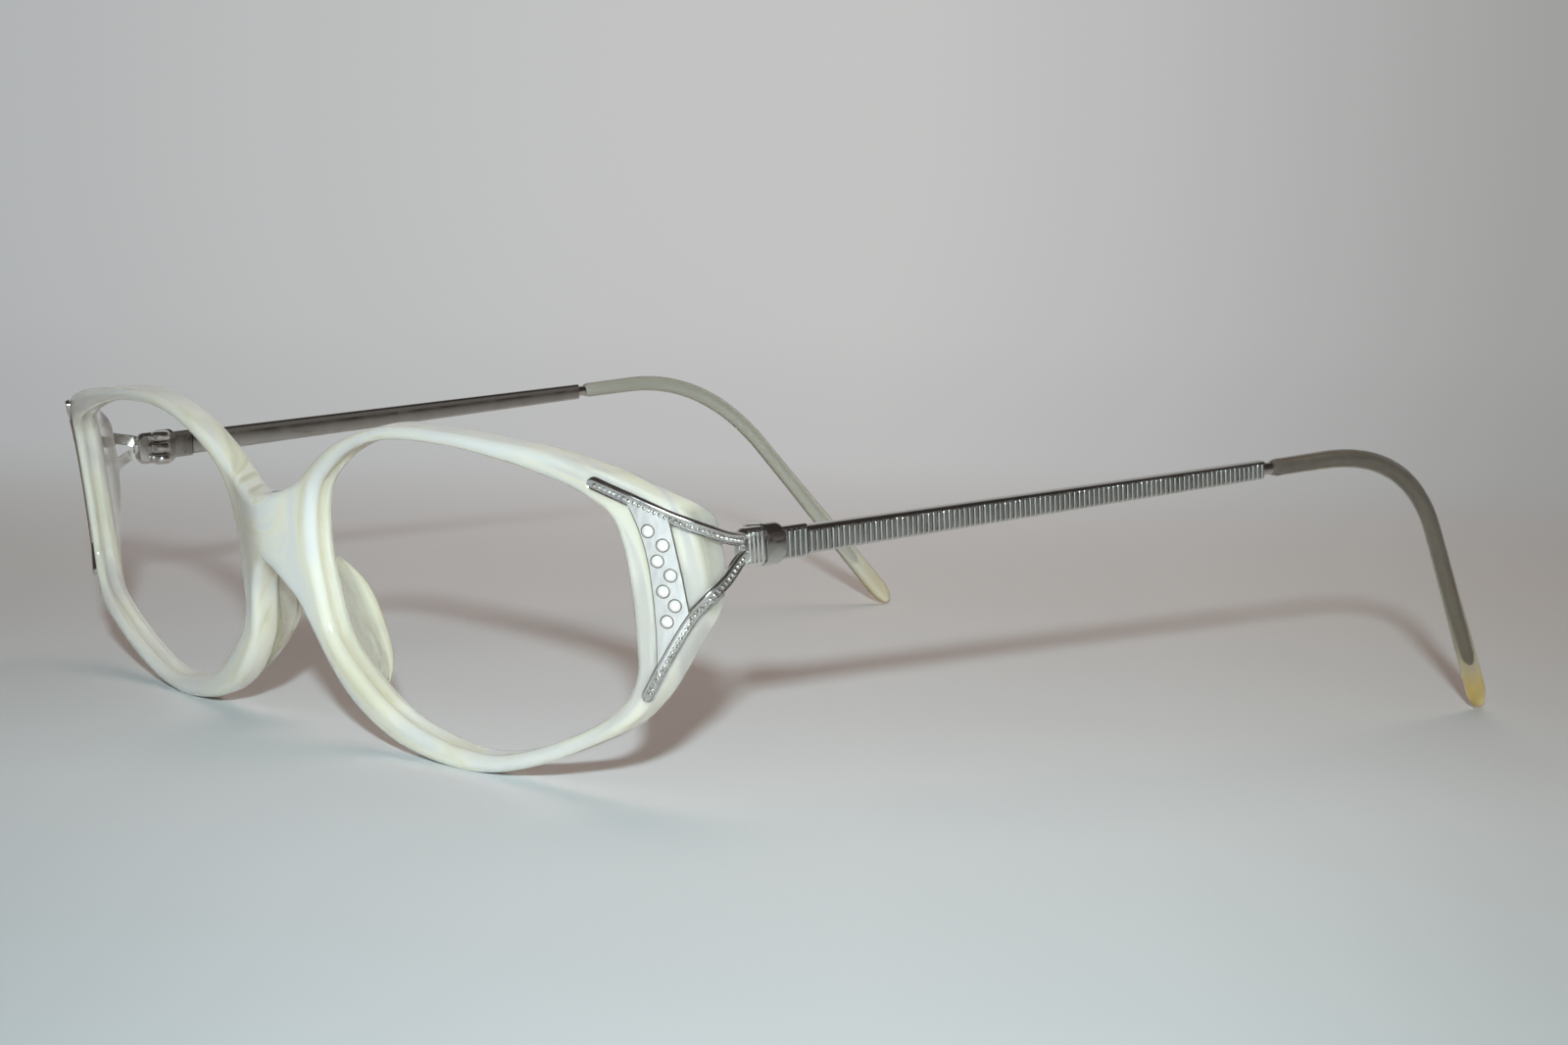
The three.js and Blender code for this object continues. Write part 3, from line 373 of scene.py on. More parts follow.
class Look:
    """A node tree, with short ways to add nodes and to fill their inputs."""

    def __init__(self, tree):
        self.nodes = tree.nodes
        self.links = tree.links

    def add(self, kind):
        return self.nodes.new("ShaderNode" + kind)

    def fill(self, node, inputs):
        """Sets inputs of a node to fixed values or links them to outputs of other nodes."""
        for key, value in inputs.items():
            if isinstance(value, bpy.types.NodeSocket):
                self.links.new(value, node.inputs[key])
            else:
                node.inputs[key].default_value = value
        return node

    def shade(self, inputs):
        self.fill(self.nodes["Principled BSDF"], inputs)

    def coords(self, scale=(1, 1, 1)):
        place = self.add("TexCoord").outputs["Object"]
        return self.fill(self.add("Mapping"), {"Vector": place, "Scale": scale}).outputs["Vector"]

    def split(self, vector):
        return self.fill(self.add("SeparateXYZ"), {"Vector": vector}).outputs

    def attribute(self, name, output):
        node = self.add("Attribute")
        node.attribute_name = name
        return node.outputs[output]

    def math(self, operation, *values):
        node = self.add("Math")
        node.operation = operation
        return self.fill(node, dict(enumerate(values))).outputs[0]

    def noise(self, coords, scale, detail=3, roughness=0.5, distortion=0.0):
        return self.fill(self.add("TexNoise"), {
            "Vector": coords,
            "Scale": scale,
            "Detail": detail,
            "Roughness": roughness,
            "Distortion": distortion,
        }).outputs["Fac"]

    def ramp(self, value, stops):
        """Colours at places along a value."""
        node = self.fill(self.add("ValToRGB"), {"Fac": value})
        elements = node.color_ramp.elements
        while len(elements) < len(stops):
            elements.new(0.5)
        for element, (position, colour) in zip(elements, stops):
            element.position = position
            element.color = (*colour, 1)
        return node.outputs["Color"]

    def span(self, value, low, high, to_low, to_high):
        """The value, eased from one range into another."""
        node = self.add("MapRange")
        node.interpolation_type = "SMOOTHSTEP"
        return self.fill(node, {
            "Value": value,
            "From Min": low,
            "From Max": high,
            "To Min": to_low,
            "To Max": to_high,
        }).outputs["Result"]

    def blend(self, factor, colour, other):
        """A colour that turns into another fixed one with the factor."""
        node = self.add("Mix")
        node.data_type = "RGBA"
        return self.fill(node, {"Factor": factor, 6: colour, 7: (*other, 1)}).outputs[2]

    def bump(self, height, strength, distance):
        inputs = {"Height": height, "Strength": strength, "Distance": distance}
        node = self.fill(self.add("Bump"), inputs)
        self.shade({"Normal": node.outputs["Normal"]})


def new_material(name):
    material = bpy.data.materials.new(name)
    material.use_nodes = True
    return material, Look(material.node_tree)


def make_acetate():
    """Pearl acetate: milky streaks along the rims, clear and faintly yellow towards the edges."""
    material, look = new_material("marbled_acetate")
    coords = look.coords()
    streaks = look.noise(look.attribute("flow", "Vector"), 1.0, 3, 0.5, 0.7)
    cloud = look.noise(coords, 70, 2, 0.5, 0.6)
    milk = look.span(look.math("MULTIPLY_ADD", cloud, 0.4, streaks), 0.5, 0.84, 0, 1)
    thin = look.math("MULTIPLY", milk, 0.4)
    clear = look.math("SUBTRACT", look.attribute("along", "Fac"), thin)
    base = look.math("MULTIPLY_ADD", milk, -0.4, 0.42)
    ground = look.math("MAXIMUM", clear, base)
    colour = look.ramp(ground, [
        (0.04, (0.725, 0.71, 0.67)),
        (0.2, (0.77, 0.735, 0.65)),
        (0.42, (0.85, 0.79, 0.62)),
        (0.85, (0.96, 0.90, 0.70)),
        (1.0, (0.72, 0.67, 0.55)),
    ])
    # Near the lug the milk turns cooler and darker: partly the acetate's own cooler tone, partly
    # painted shade that tones down the lug where the lamp lights it most
    sideways = look.math("ABSOLUTE", look.split(coords)["X"])
    at_lug = look.span(sideways, 0.047, 0.060, 0, 1)
    lug_tint_and_painted_shade = look.math("MULTIPLY", at_lug, milk)
    look.shade({
        "Base Color": look.blend(lug_tint_and_painted_shade, colour, (0.55, 0.51, 0.465)),
        "Transmission Weight": look.span(ground, 0.2, 1.05, 0.03, 0.9),
        "Subsurface Weight": 0.9,
        "Subsurface Radius": (1.0, 1.0, 0.9),
        "Subsurface Scale": 0.0025,
        "Roughness": 0.12,
        "IOR": 1.49,
        "Coat Weight": 0.8,
        "Coat Roughness": 0.03,
    })
    look.bump(look.noise(coords, 420, 2), 0.04, 0.0003)
    return material


def make_pad():
    """Clear pad acetate with milky streaks and a yellow crest."""
    material, look = new_material("pad_acetate")
    cloud = look.noise(look.coords(), 230, 2, 0.4, 0.4)
    ridge = look.math("MULTIPLY_ADD", cloud, 0.3, look.attribute("along", "Fac"))
    colour = look.ramp(ridge, [
        (0.1, (0.96, 0.94, 0.83)),
        (0.6, (0.97, 0.93, 0.75)),
        (1.0, (0.93, 0.80, 0.42)),
    ])
    look.shade({
        "Base Color": colour,
        "Transmission Weight": look.span(ridge, 0.2, 0.6, 0.78, 0.4),
        "Roughness": 0.08,
        "IOR": 1.45,
    })
    return material


def make_metal(name, grain, detail, dark, light, gloss, metallic=1.0):
    """Metal with faint wear in its colour and gloss."""
    material, look = new_material(name)
    wear = look.noise(look.coords(), grain, detail, 0.6)
    look.shade({
        "Base Color": look.ramp(wear, [(0.3, dark), (0.7, light)]),
        "Roughness": look.span(wear, *gloss),
        "Metallic": metallic,
    })
    return material


def make_satin():
    """Satin plate with a fine upright grain."""
    material, look = new_material("satin_metal")
    grain = look.noise(look.coords((1, 1, 0.2)), 3200, 3, 0.6)
    look.shade({
        "Base Color": look.ramp(grain, [(0.3, (0.74, 0.71, 0.685)), (0.7, (0.835, 0.80, 0.775))]),
        "Roughness": look.span(grain, 0.3, 0.7, 0.38, 0.5),
        "Metallic": 0.85,
    })
    look.bump(grain, 0.15, 0.00005)
    return material


def make_crystal():
    """Foil-backed stone: bright facets under a clear coat."""
    material, look = new_material("crystal_glass")
    spark = look.noise(look.coords(), 1500, 1)
    look.shade({
        "Base Color": look.ramp(spark, [(0.3, (0.78, 0.735, 0.70)), (0.7, (0.92, 0.855, 0.81))]),
        "Metallic": 0.15,
        "Roughness": 0.04,
        "IOR": 1.7,
        "Coat Weight": 1.0,
        "Coat Roughness": 0.02,
    })
    return material


def make_tip():
    """Smoky clear acetate over the core wire, paler on its inner side and amber at its end."""
    material, look = new_material("tip_acetate")
    cloud = look.noise(look.coords(), 140, 3, 0.5, 0.5)
    place = look.math("MULTIPLY_ADD", cloud, 0.05, look.attribute("along", "Fac"))
    colour = look.ramp(place, [
        (0.0, (0.68, 0.62, 0.53)),
        (0.55, (0.71, 0.65, 0.54)),
        (0.90, (0.80, 0.73, 0.56)),
        (0.955, (0.94, 0.67, 0.19)),
    ])
    inner = look.span(look.split(look.attribute("flow", "Vector"))["X"], -0.7, 0.35, 1, 0)
    look.shade({
        "Base Color": look.blend(inner, colour, (0.80, 0.76, 0.63)),
        "Transmission Weight": look.span(inner, 0, 1, 0.9, 0.55),
        "Roughness": 0.08,
        "IOR": 1.46,
    })
    return material


acetate = make_acetate()
pad_acetate = make_pad()
# Bright plating on the temples, a softer one on the cast end pieces, and dark bare metal, which also
# paints shade along the plate's edges and round the stones
polished = make_metal(
    "polished_metal", 420, 4, (0.49, 0.477, 0.45), (0.59, 0.577, 0.555), (0.3, 0.75, 0.07, 0.17)
)
cast = make_metal(
    "cast_metal", 900, 3, (0.68, 0.665, 0.635), (0.78, 0.765, 0.74), (0.3, 0.75, 0.13, 0.24)
)
dark_metal_and_painted_shade = make_metal(
    "dull_metal_and_painted_shade", 900, 3, (0.175, 0.135, 0.10), (0.24, 0.19, 0.14), (0.3, 0.7, 0.35, 0.5), 0.6
)
satin = make_satin()
crystal_glass = make_crystal()
tip_acetate = make_tip()


# Front


def edge_round(distance, radius):
    k = 1 - np.minimum(distance / radius, 1)
    return radius * (1 - np.sqrt(np.maximum(1 - k * k, 0)))


def front_rings():
    """Rings of points across the left rim, with the distance of each to the nearer edge."""
    rims = spaced(outer, 250)
    rims[0, 0] = rims[-1, 0] = 0
    across = np.array([[0, lerp(arch_top[1], bridge_top[1], ease(k / 22))] for k in range(1, 22)])
    rims = np.vstack([rims, across])
    inner = on_aperture(np.arctan2(rims[:, 1] - centre[1], rims[:, 0] - centre[0]))
    width = np.linalg.norm(rims - inner, axis=1)
    reach = np.minimum(EDGE, 0.42 * width)
    near = np.array([0, 0.015, 0.06, 0.14, 0.26, 0.42, 0.62, 0.82])
    middle = np.linspace(0, 1, 7)
    places = np.concatenate([
        near[None] * reach[:, None],
        lerp(reach[:, None], (width - reach)[:, None], middle[None]),
        width[:, None] - near[None, ::-1] * reach[:, None],
    ], axis=1)
    share = places / width[:, None]
    p = inner[:, None] + (rims - inner)[:, None] * share[..., None]
    on_centre = rims[:, 0] == 0
    flat = p.reshape(-1, 2)
    to_inner = distance_to(aperture, flat).reshape(share.shape)
    to_outer = distance_to(outer, flat).reshape(share.shape)
    to_inner[:, 0] = 0
    to_outer[~on_centre, -1] = 0
    edge = np.minimum(to_inner, to_outer)
    radius = np.minimum(EDGE, np.maximum(0.48 * (to_inner + to_outer), 0.05))
    face = bow(p[..., 0]) + edge_round(edge, radius)
    back = bow(p[..., 0]) + THICKNESS - edge_round(edge, radius)
    ring_front = np.stack([p[..., 0], face, p[..., 1]], axis=-1)
    ring_back = np.stack([p[..., 0], back, p[..., 1]], axis=-1)[:, ::-1]
    way = (rims - inner) / width[:, None]
    mid = bow(inner[:, 0]) + THICKNESS / 2
    groove = []
    for offset, deep in ((0.5, 0), (0.12, 1), (-0.12, 1), (-0.5, 0)):
        q = inner + way * (GROOVE_DEPTH * deep)
        groove.append(np.stack([q[:, 0], mid + GROOVE_WIDTH * offset, q[:, 1]], axis=-1))
    rings = np.concatenate([ring_front, ring_back, np.stack(groove, axis=1)], axis=1)
    from_edge = np.concatenate([edge, edge[:, ::-1], np.zeros((len(rings), len(groove)))], axis=1)
    return rims, inner, rings, from_edge, share.shape[1] - 1


def make_front():
    """The left half of the front and its mirror image, with the way its streaks run."""
    rims, inner, rings, from_edge, last = front_rings()
    on_centre = rims[:, 0] == 0
    rows, cols = rings.shape[:2]
    turn = np.arctan2(rims[:, 1] - centre[1], rims[:, 0] - centre[0])
    step = np.linalg.norm(rings[..., ::2] - inner[:, None], axis=2)
    deep = rings[..., 1] - bow(rings[..., 0])
    on_bridge = 1 - fade(rings[..., 0] / 7)
    step = lerp(step, (rings[..., 2] - centre[1]) * 1.2, on_bridge)
    flow = np.stack([
        np.repeat(np.cos(turn)[:, None] * STREAKS_ROUND, cols, axis=1),
        np.repeat(np.sin(turn)[:, None] * STREAKS_ROUND, cols, axis=1),
        step * STREAKS_ACROSS + deep * STREAKS_DEEP,
    ], axis=-1)
    above = rings[..., 2] - centre[1]
    border = rings[..., 0] - lug_x + 0.55 + 0.45 * np.maximum(above - 9.8, 0)
    outside = fade(border / 0.6 + 0.5)
    near_edge = 1 - fade(from_edge / 1.1)
    at_edge = 1 - fade(from_edge / 0.3)
    values = np.clip(0.34 * near_edge + 0.14 * at_edge + 0.36 * outside, 0.001, 1)
    faces = []
    for i in range(rows):
        n = (i + 1) % rows
        for j in range(cols):
            if on_centre[i] and on_centre[n] and j == last:
                continue
            k = (j + 1) % cols
            faces.append((i * cols + j, n * cols + j, n * cols + k, i * cols + k))
    half = Shape().add(rings.reshape(-1, 3), faces, values=values.ravel(), flow=flow.reshape(-1, 3))
    other = half.mirrored()
    # The mirrored half is made clearer: partly its more translucent look, partly painted shade on the
    # far half; its upper outer corner is made clear and dark brown
    corner = fade((above - 8.5) / 2.5) * fade((rings[..., 0] - lug_x + 8) / 3)
    other.values = np.maximum(values + 0.08, 1.4 * corner).ravel().tolist()
    other.flow = [(x, y, z + OTHER_STREAKS) for x, y, z in other.flow]
    return half.add(other.points, other.faces, values=other.values, flow=other.flow)


def weld(obj, distance):
    """Joins doubled points of an object's mesh."""
    bm = bmesh.new()
    bm.from_mesh(obj.data)
    bmesh.ops.remove_doubles(bm, verts=bm.verts, dist=distance)
    bmesh.ops.recalc_face_normals(bm, faces=bm.faces)
    bm.to_mesh(obj.data)
    bm.free()


front = piece("front", make_front(), acetate, "front", ["front_frame"], FRONT_SHARP)
weld(front, WELD_DISTANCE)
front.data.set_sharp_from_angle(angle=FRONT_SHARP * DEG)


def make_pad_shape():
    """Nose pad: a half-round ridge along the nasal rim."""
    turns = np.linspace(0, math.pi, 21)
    middle = RIM_NOSE - 0.3 - PAD_WIDTH / 2
    rings = []
    for t in np.linspace(0, 1, 41):
        degrees = lerp(PAD_FROM, PAD_TO, t)
        inner = on_aperture(degrees * DEG)
        way = rim_point(degrees, RIM_NOSE) - inner
        way = way / np.linalg.norm(way)
        swell = math.sin(math.pi * lerp(0.03, 0.97, t)) ** 0.6
        depth = PAD_DEPTH * swell
        half = PAD_WIDTH / 2 * lerp(0.6, 1, swell)
        ring = []
        for a in turns:
            s, c = math.sin(a), math.cos(a)
            p = inner + way * (middle + half * c - PAD_FLARE * s * depth)
            ring.append((p[0], float(bow(p[0])) + THICKNESS - 0.1 + s * depth, p[1]))
        rings.append(ring)
    skin = tube(rings)
    crest = np.sin(turns) ** 6
    streak = 0.45 * np.exp(-((np.abs(np.cos(turns)) - 0.62) / 0.2) ** 2)
    skin.values = np.tile(np.maximum(crest, streak), len(rings)).tolist()
    return skin


pad_shape = make_pad_shape()


# End pieces


def on_face(from_lug, above):
    x = lug_x + from_lug
    return np.array([x, float(bow(x)), centre[1] + above]), float(bow_angle(x))


def beside_lug(from_lug, behind, above, degrees):
    return np.array([lug_x + from_lug, float(bow(lug_x)) + behind, centre[1] + above]), degrees * DEG


def in_block(x, y, z):
    return moved(hinge_matrix, [(x, y, z)])[0], 90 * DEG


arm_end = -BLOCK_LENGTH + 0.4
upper_arm = [
    on_face(-8.25, 14.35),
    on_face(-4.65, 12.45),
    on_face(-1.75, 10.35),
    on_face(-0.5, 9.45),
    beside_lug(0.3, 1.0, 8.5, 62),
    beside_lug(0.45, 3.2, 7.3, 84),
    in_block(2.15, -BLOCK_LENGTH - 0.6, 1.15),
    in_block(1.5, arm_end, 0.86),
]
lower_arm = [
    on_face(-5.35, -8.2),
    on_face(-3.35, -4.5),
    on_face(-1.55, -1.15),
    on_face(-0.65, 0.35),
    beside_lug(0.4, 0.3, 1.7, 62),
    beside_lug(0.6, 2.5, 3.15, 84),
    in_block(2.1, -BLOCK_LENGTH - 0.6, -0.9),
    in_block(1.5, arm_end, -0.78),
]


def arm_frames(controls, step):
    """Points at equal steps along an arm, with directions along, across and out."""
    line = catmull([c[0] for c in controls])
    shares = np.linspace(0, 1, len(controls))
    angles = np.interp(np.linspace(0, 1, len(line)), shares, [c[1] for c in controls])
    run = run_of(line)
    at = np.linspace(0, run[-1], int(round(run[-1] / step)) + 1)
    p = np.stack([np.interp(at, run, line[:, k]) for k in range(3)], axis=1)
    angle = np.interp(at, run, angles)
    along = np.gradient(p, axis=0)
    along /= np.linalg.norm(along, axis=1)[:, None]
    out = np.stack([np.sin(angle), -np.cos(angle), np.zeros(len(at))], axis=1)
    across = np.cross(out, along)
    across /= np.linalg.norm(across, axis=1)[:, None]
    out = np.cross(along, across)
    return p, along, across, out


def add_arm(shape, controls):
    """An arm: a broad and a thin smooth rail with a row of beads between them."""
    p, along, across, out = arm_frames(controls, ARM_STEP)
    w = ARM_WIDTH / 2
    top = ARM_LIFT + ARM_HEIGHT
    profile = np.array([
        (-w, 0.02), (-w, top - 0.16), (-w + 0.03, top - 0.07), (-w + 0.09, top - 0.02),
        (-w + 0.16, top - 0.05), (-w + 0.21, top - 0.14), (BEAD_ROW, top - 0.16), (0.17, top - 0.14),
        (0.21, top - 0.04), (0.27, top + 0.05), (0.36, top + 0.08), (0.48, top + 0.06),
        (0.58, top - 0.01), (0.66, top - 0.13), (w, top - 0.26), (w, 0.02),
    ])
    sides, heights = profile[:, :1], profile[:, 1:]
    lead = np.array([-0.98, -0.9, -0.75, -0.5, -0.25, 0]) * w
    rings = []
    for d in lead:
        k = math.sqrt(max(1 - (d / w) ** 2, 0.03))
        start = p[0] + along[0] * (d + w - 0.35)
        rings.append(start + across[0] * (sides * k) + out[0] * heights)
    for i in range(int(w / ARM_STEP) + 2, len(p)):
        rings.append(p[i] + across[i] * sides + out[i] * heights)
    shape.join(tube(rings))
    q, t, a, n = arm_frames(controls, BEAD_PITCH)
    for i in range(1, len(q) - 2):
        rings = []
        for lift in (-0.25, 0.15, 0.5, 0.8, 0.95):
            height = top - BEAD_SINK + BEAD_OUT * lift
            rings.append([
                q[i] + t[i] * (BEAD_ALONG * x) + a[i] * (BEAD_ROW + BEAD_ACROSS * y) + n[i] * z
                for x, y, z in circle(math.sqrt(1 - lift * lift), height, BEAD_SIDES)
            ])
        shape.join(tube(rings))


def soft_block(y0, y1, height, inner_x, outer_x, *, front_corner, back_corner, crown, soft, bulge):
    """A block with corners rounded in side view, crowned above and below and convex outside."""
    half = height / 2
    corners = [
        (y1 - back_corner, -half + back_corner, back_corner, -90),
        (y1 - back_corner, half - back_corner, back_corner, 0),
        (y0 + front_corner, half - front_corner, front_corner, 90),
        (y0 + front_corner, -half + front_corner, front_corner, 180),
    ]
    loop = []
    for cy, cz, r, start in corners:
        for k in range(9):
            a = (start + 90 * k / 8) * DEG
            loop.append((cy + r * math.cos(a), cz + r * math.sin(a)))
    loop = np.array(loop)
    middle = np.array([(y0 + y1) / 2, 0])
    size = np.array([(y1 - y0) / 2, half])

    def ring(x, inset_y, inset_z, curve):
        q = middle + (loop - middle) * (1 - np.array([inset_y, inset_z]) / size)
        return [(x - curve * bulge * (z / half) ** 2, y, z) for y, z in q]

    turns = np.linspace(0, math.pi / 2, 9)
    low_crown = crown * 0.6
    rings = [ring(inner_x, soft, low_crown, 0)]
    for a in turns[1:]:
        bite = 1 - math.sin(a)
        rings.append(ring(inner_x + low_crown * (1 - math.cos(a)), soft * bite, low_crown * bite, 0))
    for a in turns:
        bite = 1 - math.cos(a)
        rings.append(ring(outer_x - crown + crown * math.sin(a), soft * bite, crown * bite, 1))
    for share in np.linspace(0, 1, 14)[1:-1]:
        rings.append(ring(outer_x, lerp(soft, size[0], share), lerp(crown, half, share), 1))
    return tube(rings)


def add_ribs(shape, y0, pitch, count, base_x, relief, bottom_at, top_at, *, fill, bulge=0.0):
    """A row of rounded upright ribs, each with half-round ends."""
    across = np.sin(np.linspace(-1, 1, 9) * math.pi / 2)
    turn = np.array([90, 70, 50, 30, 12, 0]) * DEG
    w = pitch * fill / 2
    for k in range(count):
        y = y0 + (k + 0.5) * pitch
        low, high = bottom_at(y) + w, top_at(y) - w
        places = [(low - w * math.sin(a), math.cos(a)) for a in turn]
        places += [(high + w * math.sin(a), math.cos(a)) for a in turn[::-1]]
        pts = []
        for z, share in places:
            for u in across:
                up = relief * math.sqrt(share) * math.sqrt(max(1 - u * u, 0))
                pts.append((base_x + up - bulge * z * z, y + u * w * share, z))
        shape.add(pts, [f[::-1] for f in grid_faces(len(places), len(across))])


split = RUNNING_GAP / 2
stack = BARREL_STACK / 2
middle_half = BARREL_MIDDLE / 2


def barrel(low, high):
    """A hinge barrel with rounded ends."""
    soft, radius = BARREL_SOFT, BARREL_RADIUS
    steps = [
        (low, radius - soft),
        (low + soft * 0.4, radius - soft * 0.3),
        (low + soft, radius),
        (high - soft, radius),
        (high - soft * 0.4, radius - soft * 0.3),
        (high, radius - soft),
    ]
    return tube([circle(r, z, 32) for z, r in steps])


def make_endpiece():
    """The two arms, and the fluted block with the web between them and its two barrels."""
    shape = Shape()
    add_arm(shape, upper_arm)
    add_arm(shape, lower_arm)
    block_front = -split - BLOCK_LENGTH
    block = Shape().join(
        soft_block(
            block_front, -split, BLOCK_HEIGHT, BLOCK_INNER, BLOCK_OUTER,
            front_corner=0.9, back_corner=0.1, crown=0.8, soft=0.08, bulge=0.3,
        ),
        soft_block(
            block_front - WEB_LENGTH, block_front + WEB_LENGTH, WEB_HEIGHT,
            BLOCK_OUTER - 0.95, BLOCK_OUTER - 0.35,
            front_corner=0.2, back_corner=0.2, crown=0.2, soft=0.2, bulge=0.0,
        ),
        barrel(middle_half + RUNNING_GAP, stack),
        barrel(-stack, -middle_half - RUNNING_GAP),
    )
    flutes_from = -split - 0.2 - BLOCK_FLUTES * FLUTE_PITCH
    half = FLUTE_HEIGHT / 2
    add_ribs(block, flutes_from, FLUTE_PITCH, BLOCK_FLUTES, BLOCK_OUTER - 0.04, FLUTE_RELIEF,
             lambda y: -half, lambda y: half, fill=0.8, bulge=0.06)
    return shape.join(block.moved(hinge_matrix))


endpiece_shape = make_endpiece()


# Stone plate and crystals

_arc_x = np.linspace(lug_x - 14, lug_x + 2, 800)
_arc = np.concatenate([[0], np.cumsum(np.hypot(np.diff(_arc_x), np.diff(bow(_arc_x))))])
_arc -= np.interp(lug_x, _arc_x, _arc)


def arc_of(x):
    return np.interp(x, _arc_x, _arc)


def on_face_arc(arc, z, lift):
    x = np.interp(arc, _arc, _arc_x)
    angle = bow_angle(x)
    return np.stack([x + np.sin(angle) * lift, bow(x) - np.cos(angle) * lift, z], axis=-1)


crystal_places = []
for k in range(CRYSTAL_COUNT):
    swing = (-1 if k % 2 == 0 else 1) * CRYSTAL_ZIGZAG
    lean = CRYSTAL_LEAN * max(1 - k / 4, 0) ** 2
    crystal_places.append((
        float(arc_of(lug_x + swing - lean - CRYSTAL_FROM_LUG)),
        centre[1] + CRYSTAL_FIRST - k * CRYSTAL_PITCH,
    ))


def quadratic(a, b, c, count):
    t = np.linspace(0, 1, count)[:, None]
    return (1 - t) ** 2 * np.array(a) + 2 * t * (1 - t) * np.array(b) + t * t * np.array(c)


def plate_outline():
    left = np.vstack([
        quadratic((-5.0, 12.6), (-3.75, 9.2), (-3.65, 5.0), 24)[:-1],
        quadratic((-3.65, 5.0), (-3.5, -0.6), (-4.2, -6.5), 30),
    ])
    right = np.array([(-3.35, -4.5), (-1.1, -0.5), (-1.3, 4.0), (-1.75, 10.3)])
    line = np.vstack([left, right])
    return np.stack([arc_of(lug_x + line[:, 0]), centre[1] + line[:, 1]], axis=1)


def inside(loop, q):
    x0, y0 = loop[:, 0], loop[:, 1]
    x1, y1 = np.roll(x0, -1), np.roll(y0, -1)
    past = q[0] < (x1 - x0) * (q[1] - y0) / (y1 - y0 + 1e-12) + x0
    cross = ((y0 > q[1]) != (y1 > q[1])) & past
    return cross.sum() % 2 == 1


def make_plate():
    """The plate with its seven open seats, bent to the front's face."""
    loop = plate_outline()
    loop = spaced(np.vstack([loop, loop[:1]]), 140)[:-1]
    border = np.vstack([loop, loop[:1]])
    seat = CRYSTAL_RADIUS + SEAT_GAP
    sides, clearance = 28, 0.15
    points = [Vector(p) for p in loop]
    edges = [(i, (i + 1) % len(loop)) for i in range(len(loop))]
    for a, z in crystal_places:
        base = len(points)
        for k, (x, y, _) in enumerate(circle(seat, 0, sides)):
            points.append(Vector((a + x, z + y)))
            edges.append((base + k, base + (k + 1) % sides))
    lo, hi = loop.min(0), loop.max(0)
    for a in np.arange(lo[0], hi[0], 0.35):
        for z in np.arange(lo[1], hi[1], 0.5):
            q = np.array([[a, z]])
            clear = all(math.hypot(a - c, z - d) > seat + clearance for c, d in crystal_places)
            if clear and distance_to(border, q)[0] > clearance:
                points.append(Vector((a, z)))
    verts, _, faces, *_ = delaunay_2d_cdt(points, edges, [], 0, 1e-5)
    verts = np.array([tuple(v) for v in verts])
    kept = []
    for f in faces:
        mid = verts[list(f)].mean(0)
        in_seat = any(math.hypot(mid[0] - a, mid[1] - z) < seat * 0.98 for a, z in crystal_places)
        if inside(loop, mid) and not in_seat:
            kept.append(tuple(f))
    top = on_face_arc(verts[:, 0], verts[:, 1], PLATE_LIFT + PLATE_HEIGHT)
    low = on_face_arc(verts[:, 0], verts[:, 1], PLATE_LIFT)
    n = len(verts)
    skin = list(kept) + [tuple(i + n for i in f[::-1]) for f in kept]
    uses = dict.fromkeys((f[i], f[(i + 1) % len(f)]) for f in kept for i in range(len(f)))
    for a, b in uses:
        if (b, a) not in uses:
            skin.append((b, a, a + n, b + n))
    return Shape().add(np.vstack([top, low]), skin)


plate_shape = make_plate()


def make_seams():
    """A thin dark tube along both long edges of the plate: painted shade of the gap between plate and
    front, with dirt in it.
    """
    shape = Shape()
    loop = plate_outline()
    for line in (loop[3:-6], loop[-3:]):
        rings = []
        for a, z in spaced(line, 60):
            rings.append([
                on_face_arc(a + SEAM_SIDE * x, z, PLATE_LIFT + SEAM_MIDDLE + SEAM_RISE * y)
                for x, y, _ in circle(1, 0, 8)
            ])
        shape.join(tube(rings))
    return shape


seam_shape = make_seams()


def stone_matrix(arc, z):
    x = float(np.interp(arc, _arc, _arc_x))
    angle = float(bow_angle(x))
    out = Vector((math.sin(angle), -math.cos(angle), 0))
    up = Vector((0, 0, 1))
    across = up.cross(out)
    rotation = Matrix((across, up, out)).transposed().to_4x4()
    return Matrix.Translation((x, float(bow(x)), z)) @ rotation


def make_crystal_shape():
    """A round brilliant: table, star and kite facets, girdle and pavilion."""
    girdle = PLATE_LIFT + PLATE_HEIGHT
    r = CRYSTAL_RADIUS
    table = circle(r * 0.56, girdle + CRYSTAL_CROWN, 8)
    kite = circle(r * 0.8, girdle + CRYSTAL_CROWN * 0.55, 8, 0.5)
    upper = circle(r, girdle + 0.03, 16)
    lower = circle(r, girdle - 0.04, 16)
    tip = [(0, 0, girdle - 0.3)]
    pts = table + kite + upper + lower + tip
    faces = [tuple(range(8))]
    for k in range(8):
        n = (k + 1) % 8
        faces.append((k, 8 + k, n))
        faces.append((n, 8 + k, 16 + (2 * k + 2) % 16))
        faces.append((8 + k, 16 + 2 * k + 1, 16 + (2 * k + 2) % 16))
        faces.append((8 + k, 16 + 2 * k, 16 + 2 * k + 1))
        faces.append((k, 16 + 2 * k, 8 + k))
    for k in range(16):
        n = (k + 1) % 16
        faces.append((16 + k, 32 + k, 32 + n, 16 + n))
        faces.append((32 + k, 48, 32 + n))
    return Shape().add(pts, faces, flat=True)


crystal_shape = make_crystal_shape()


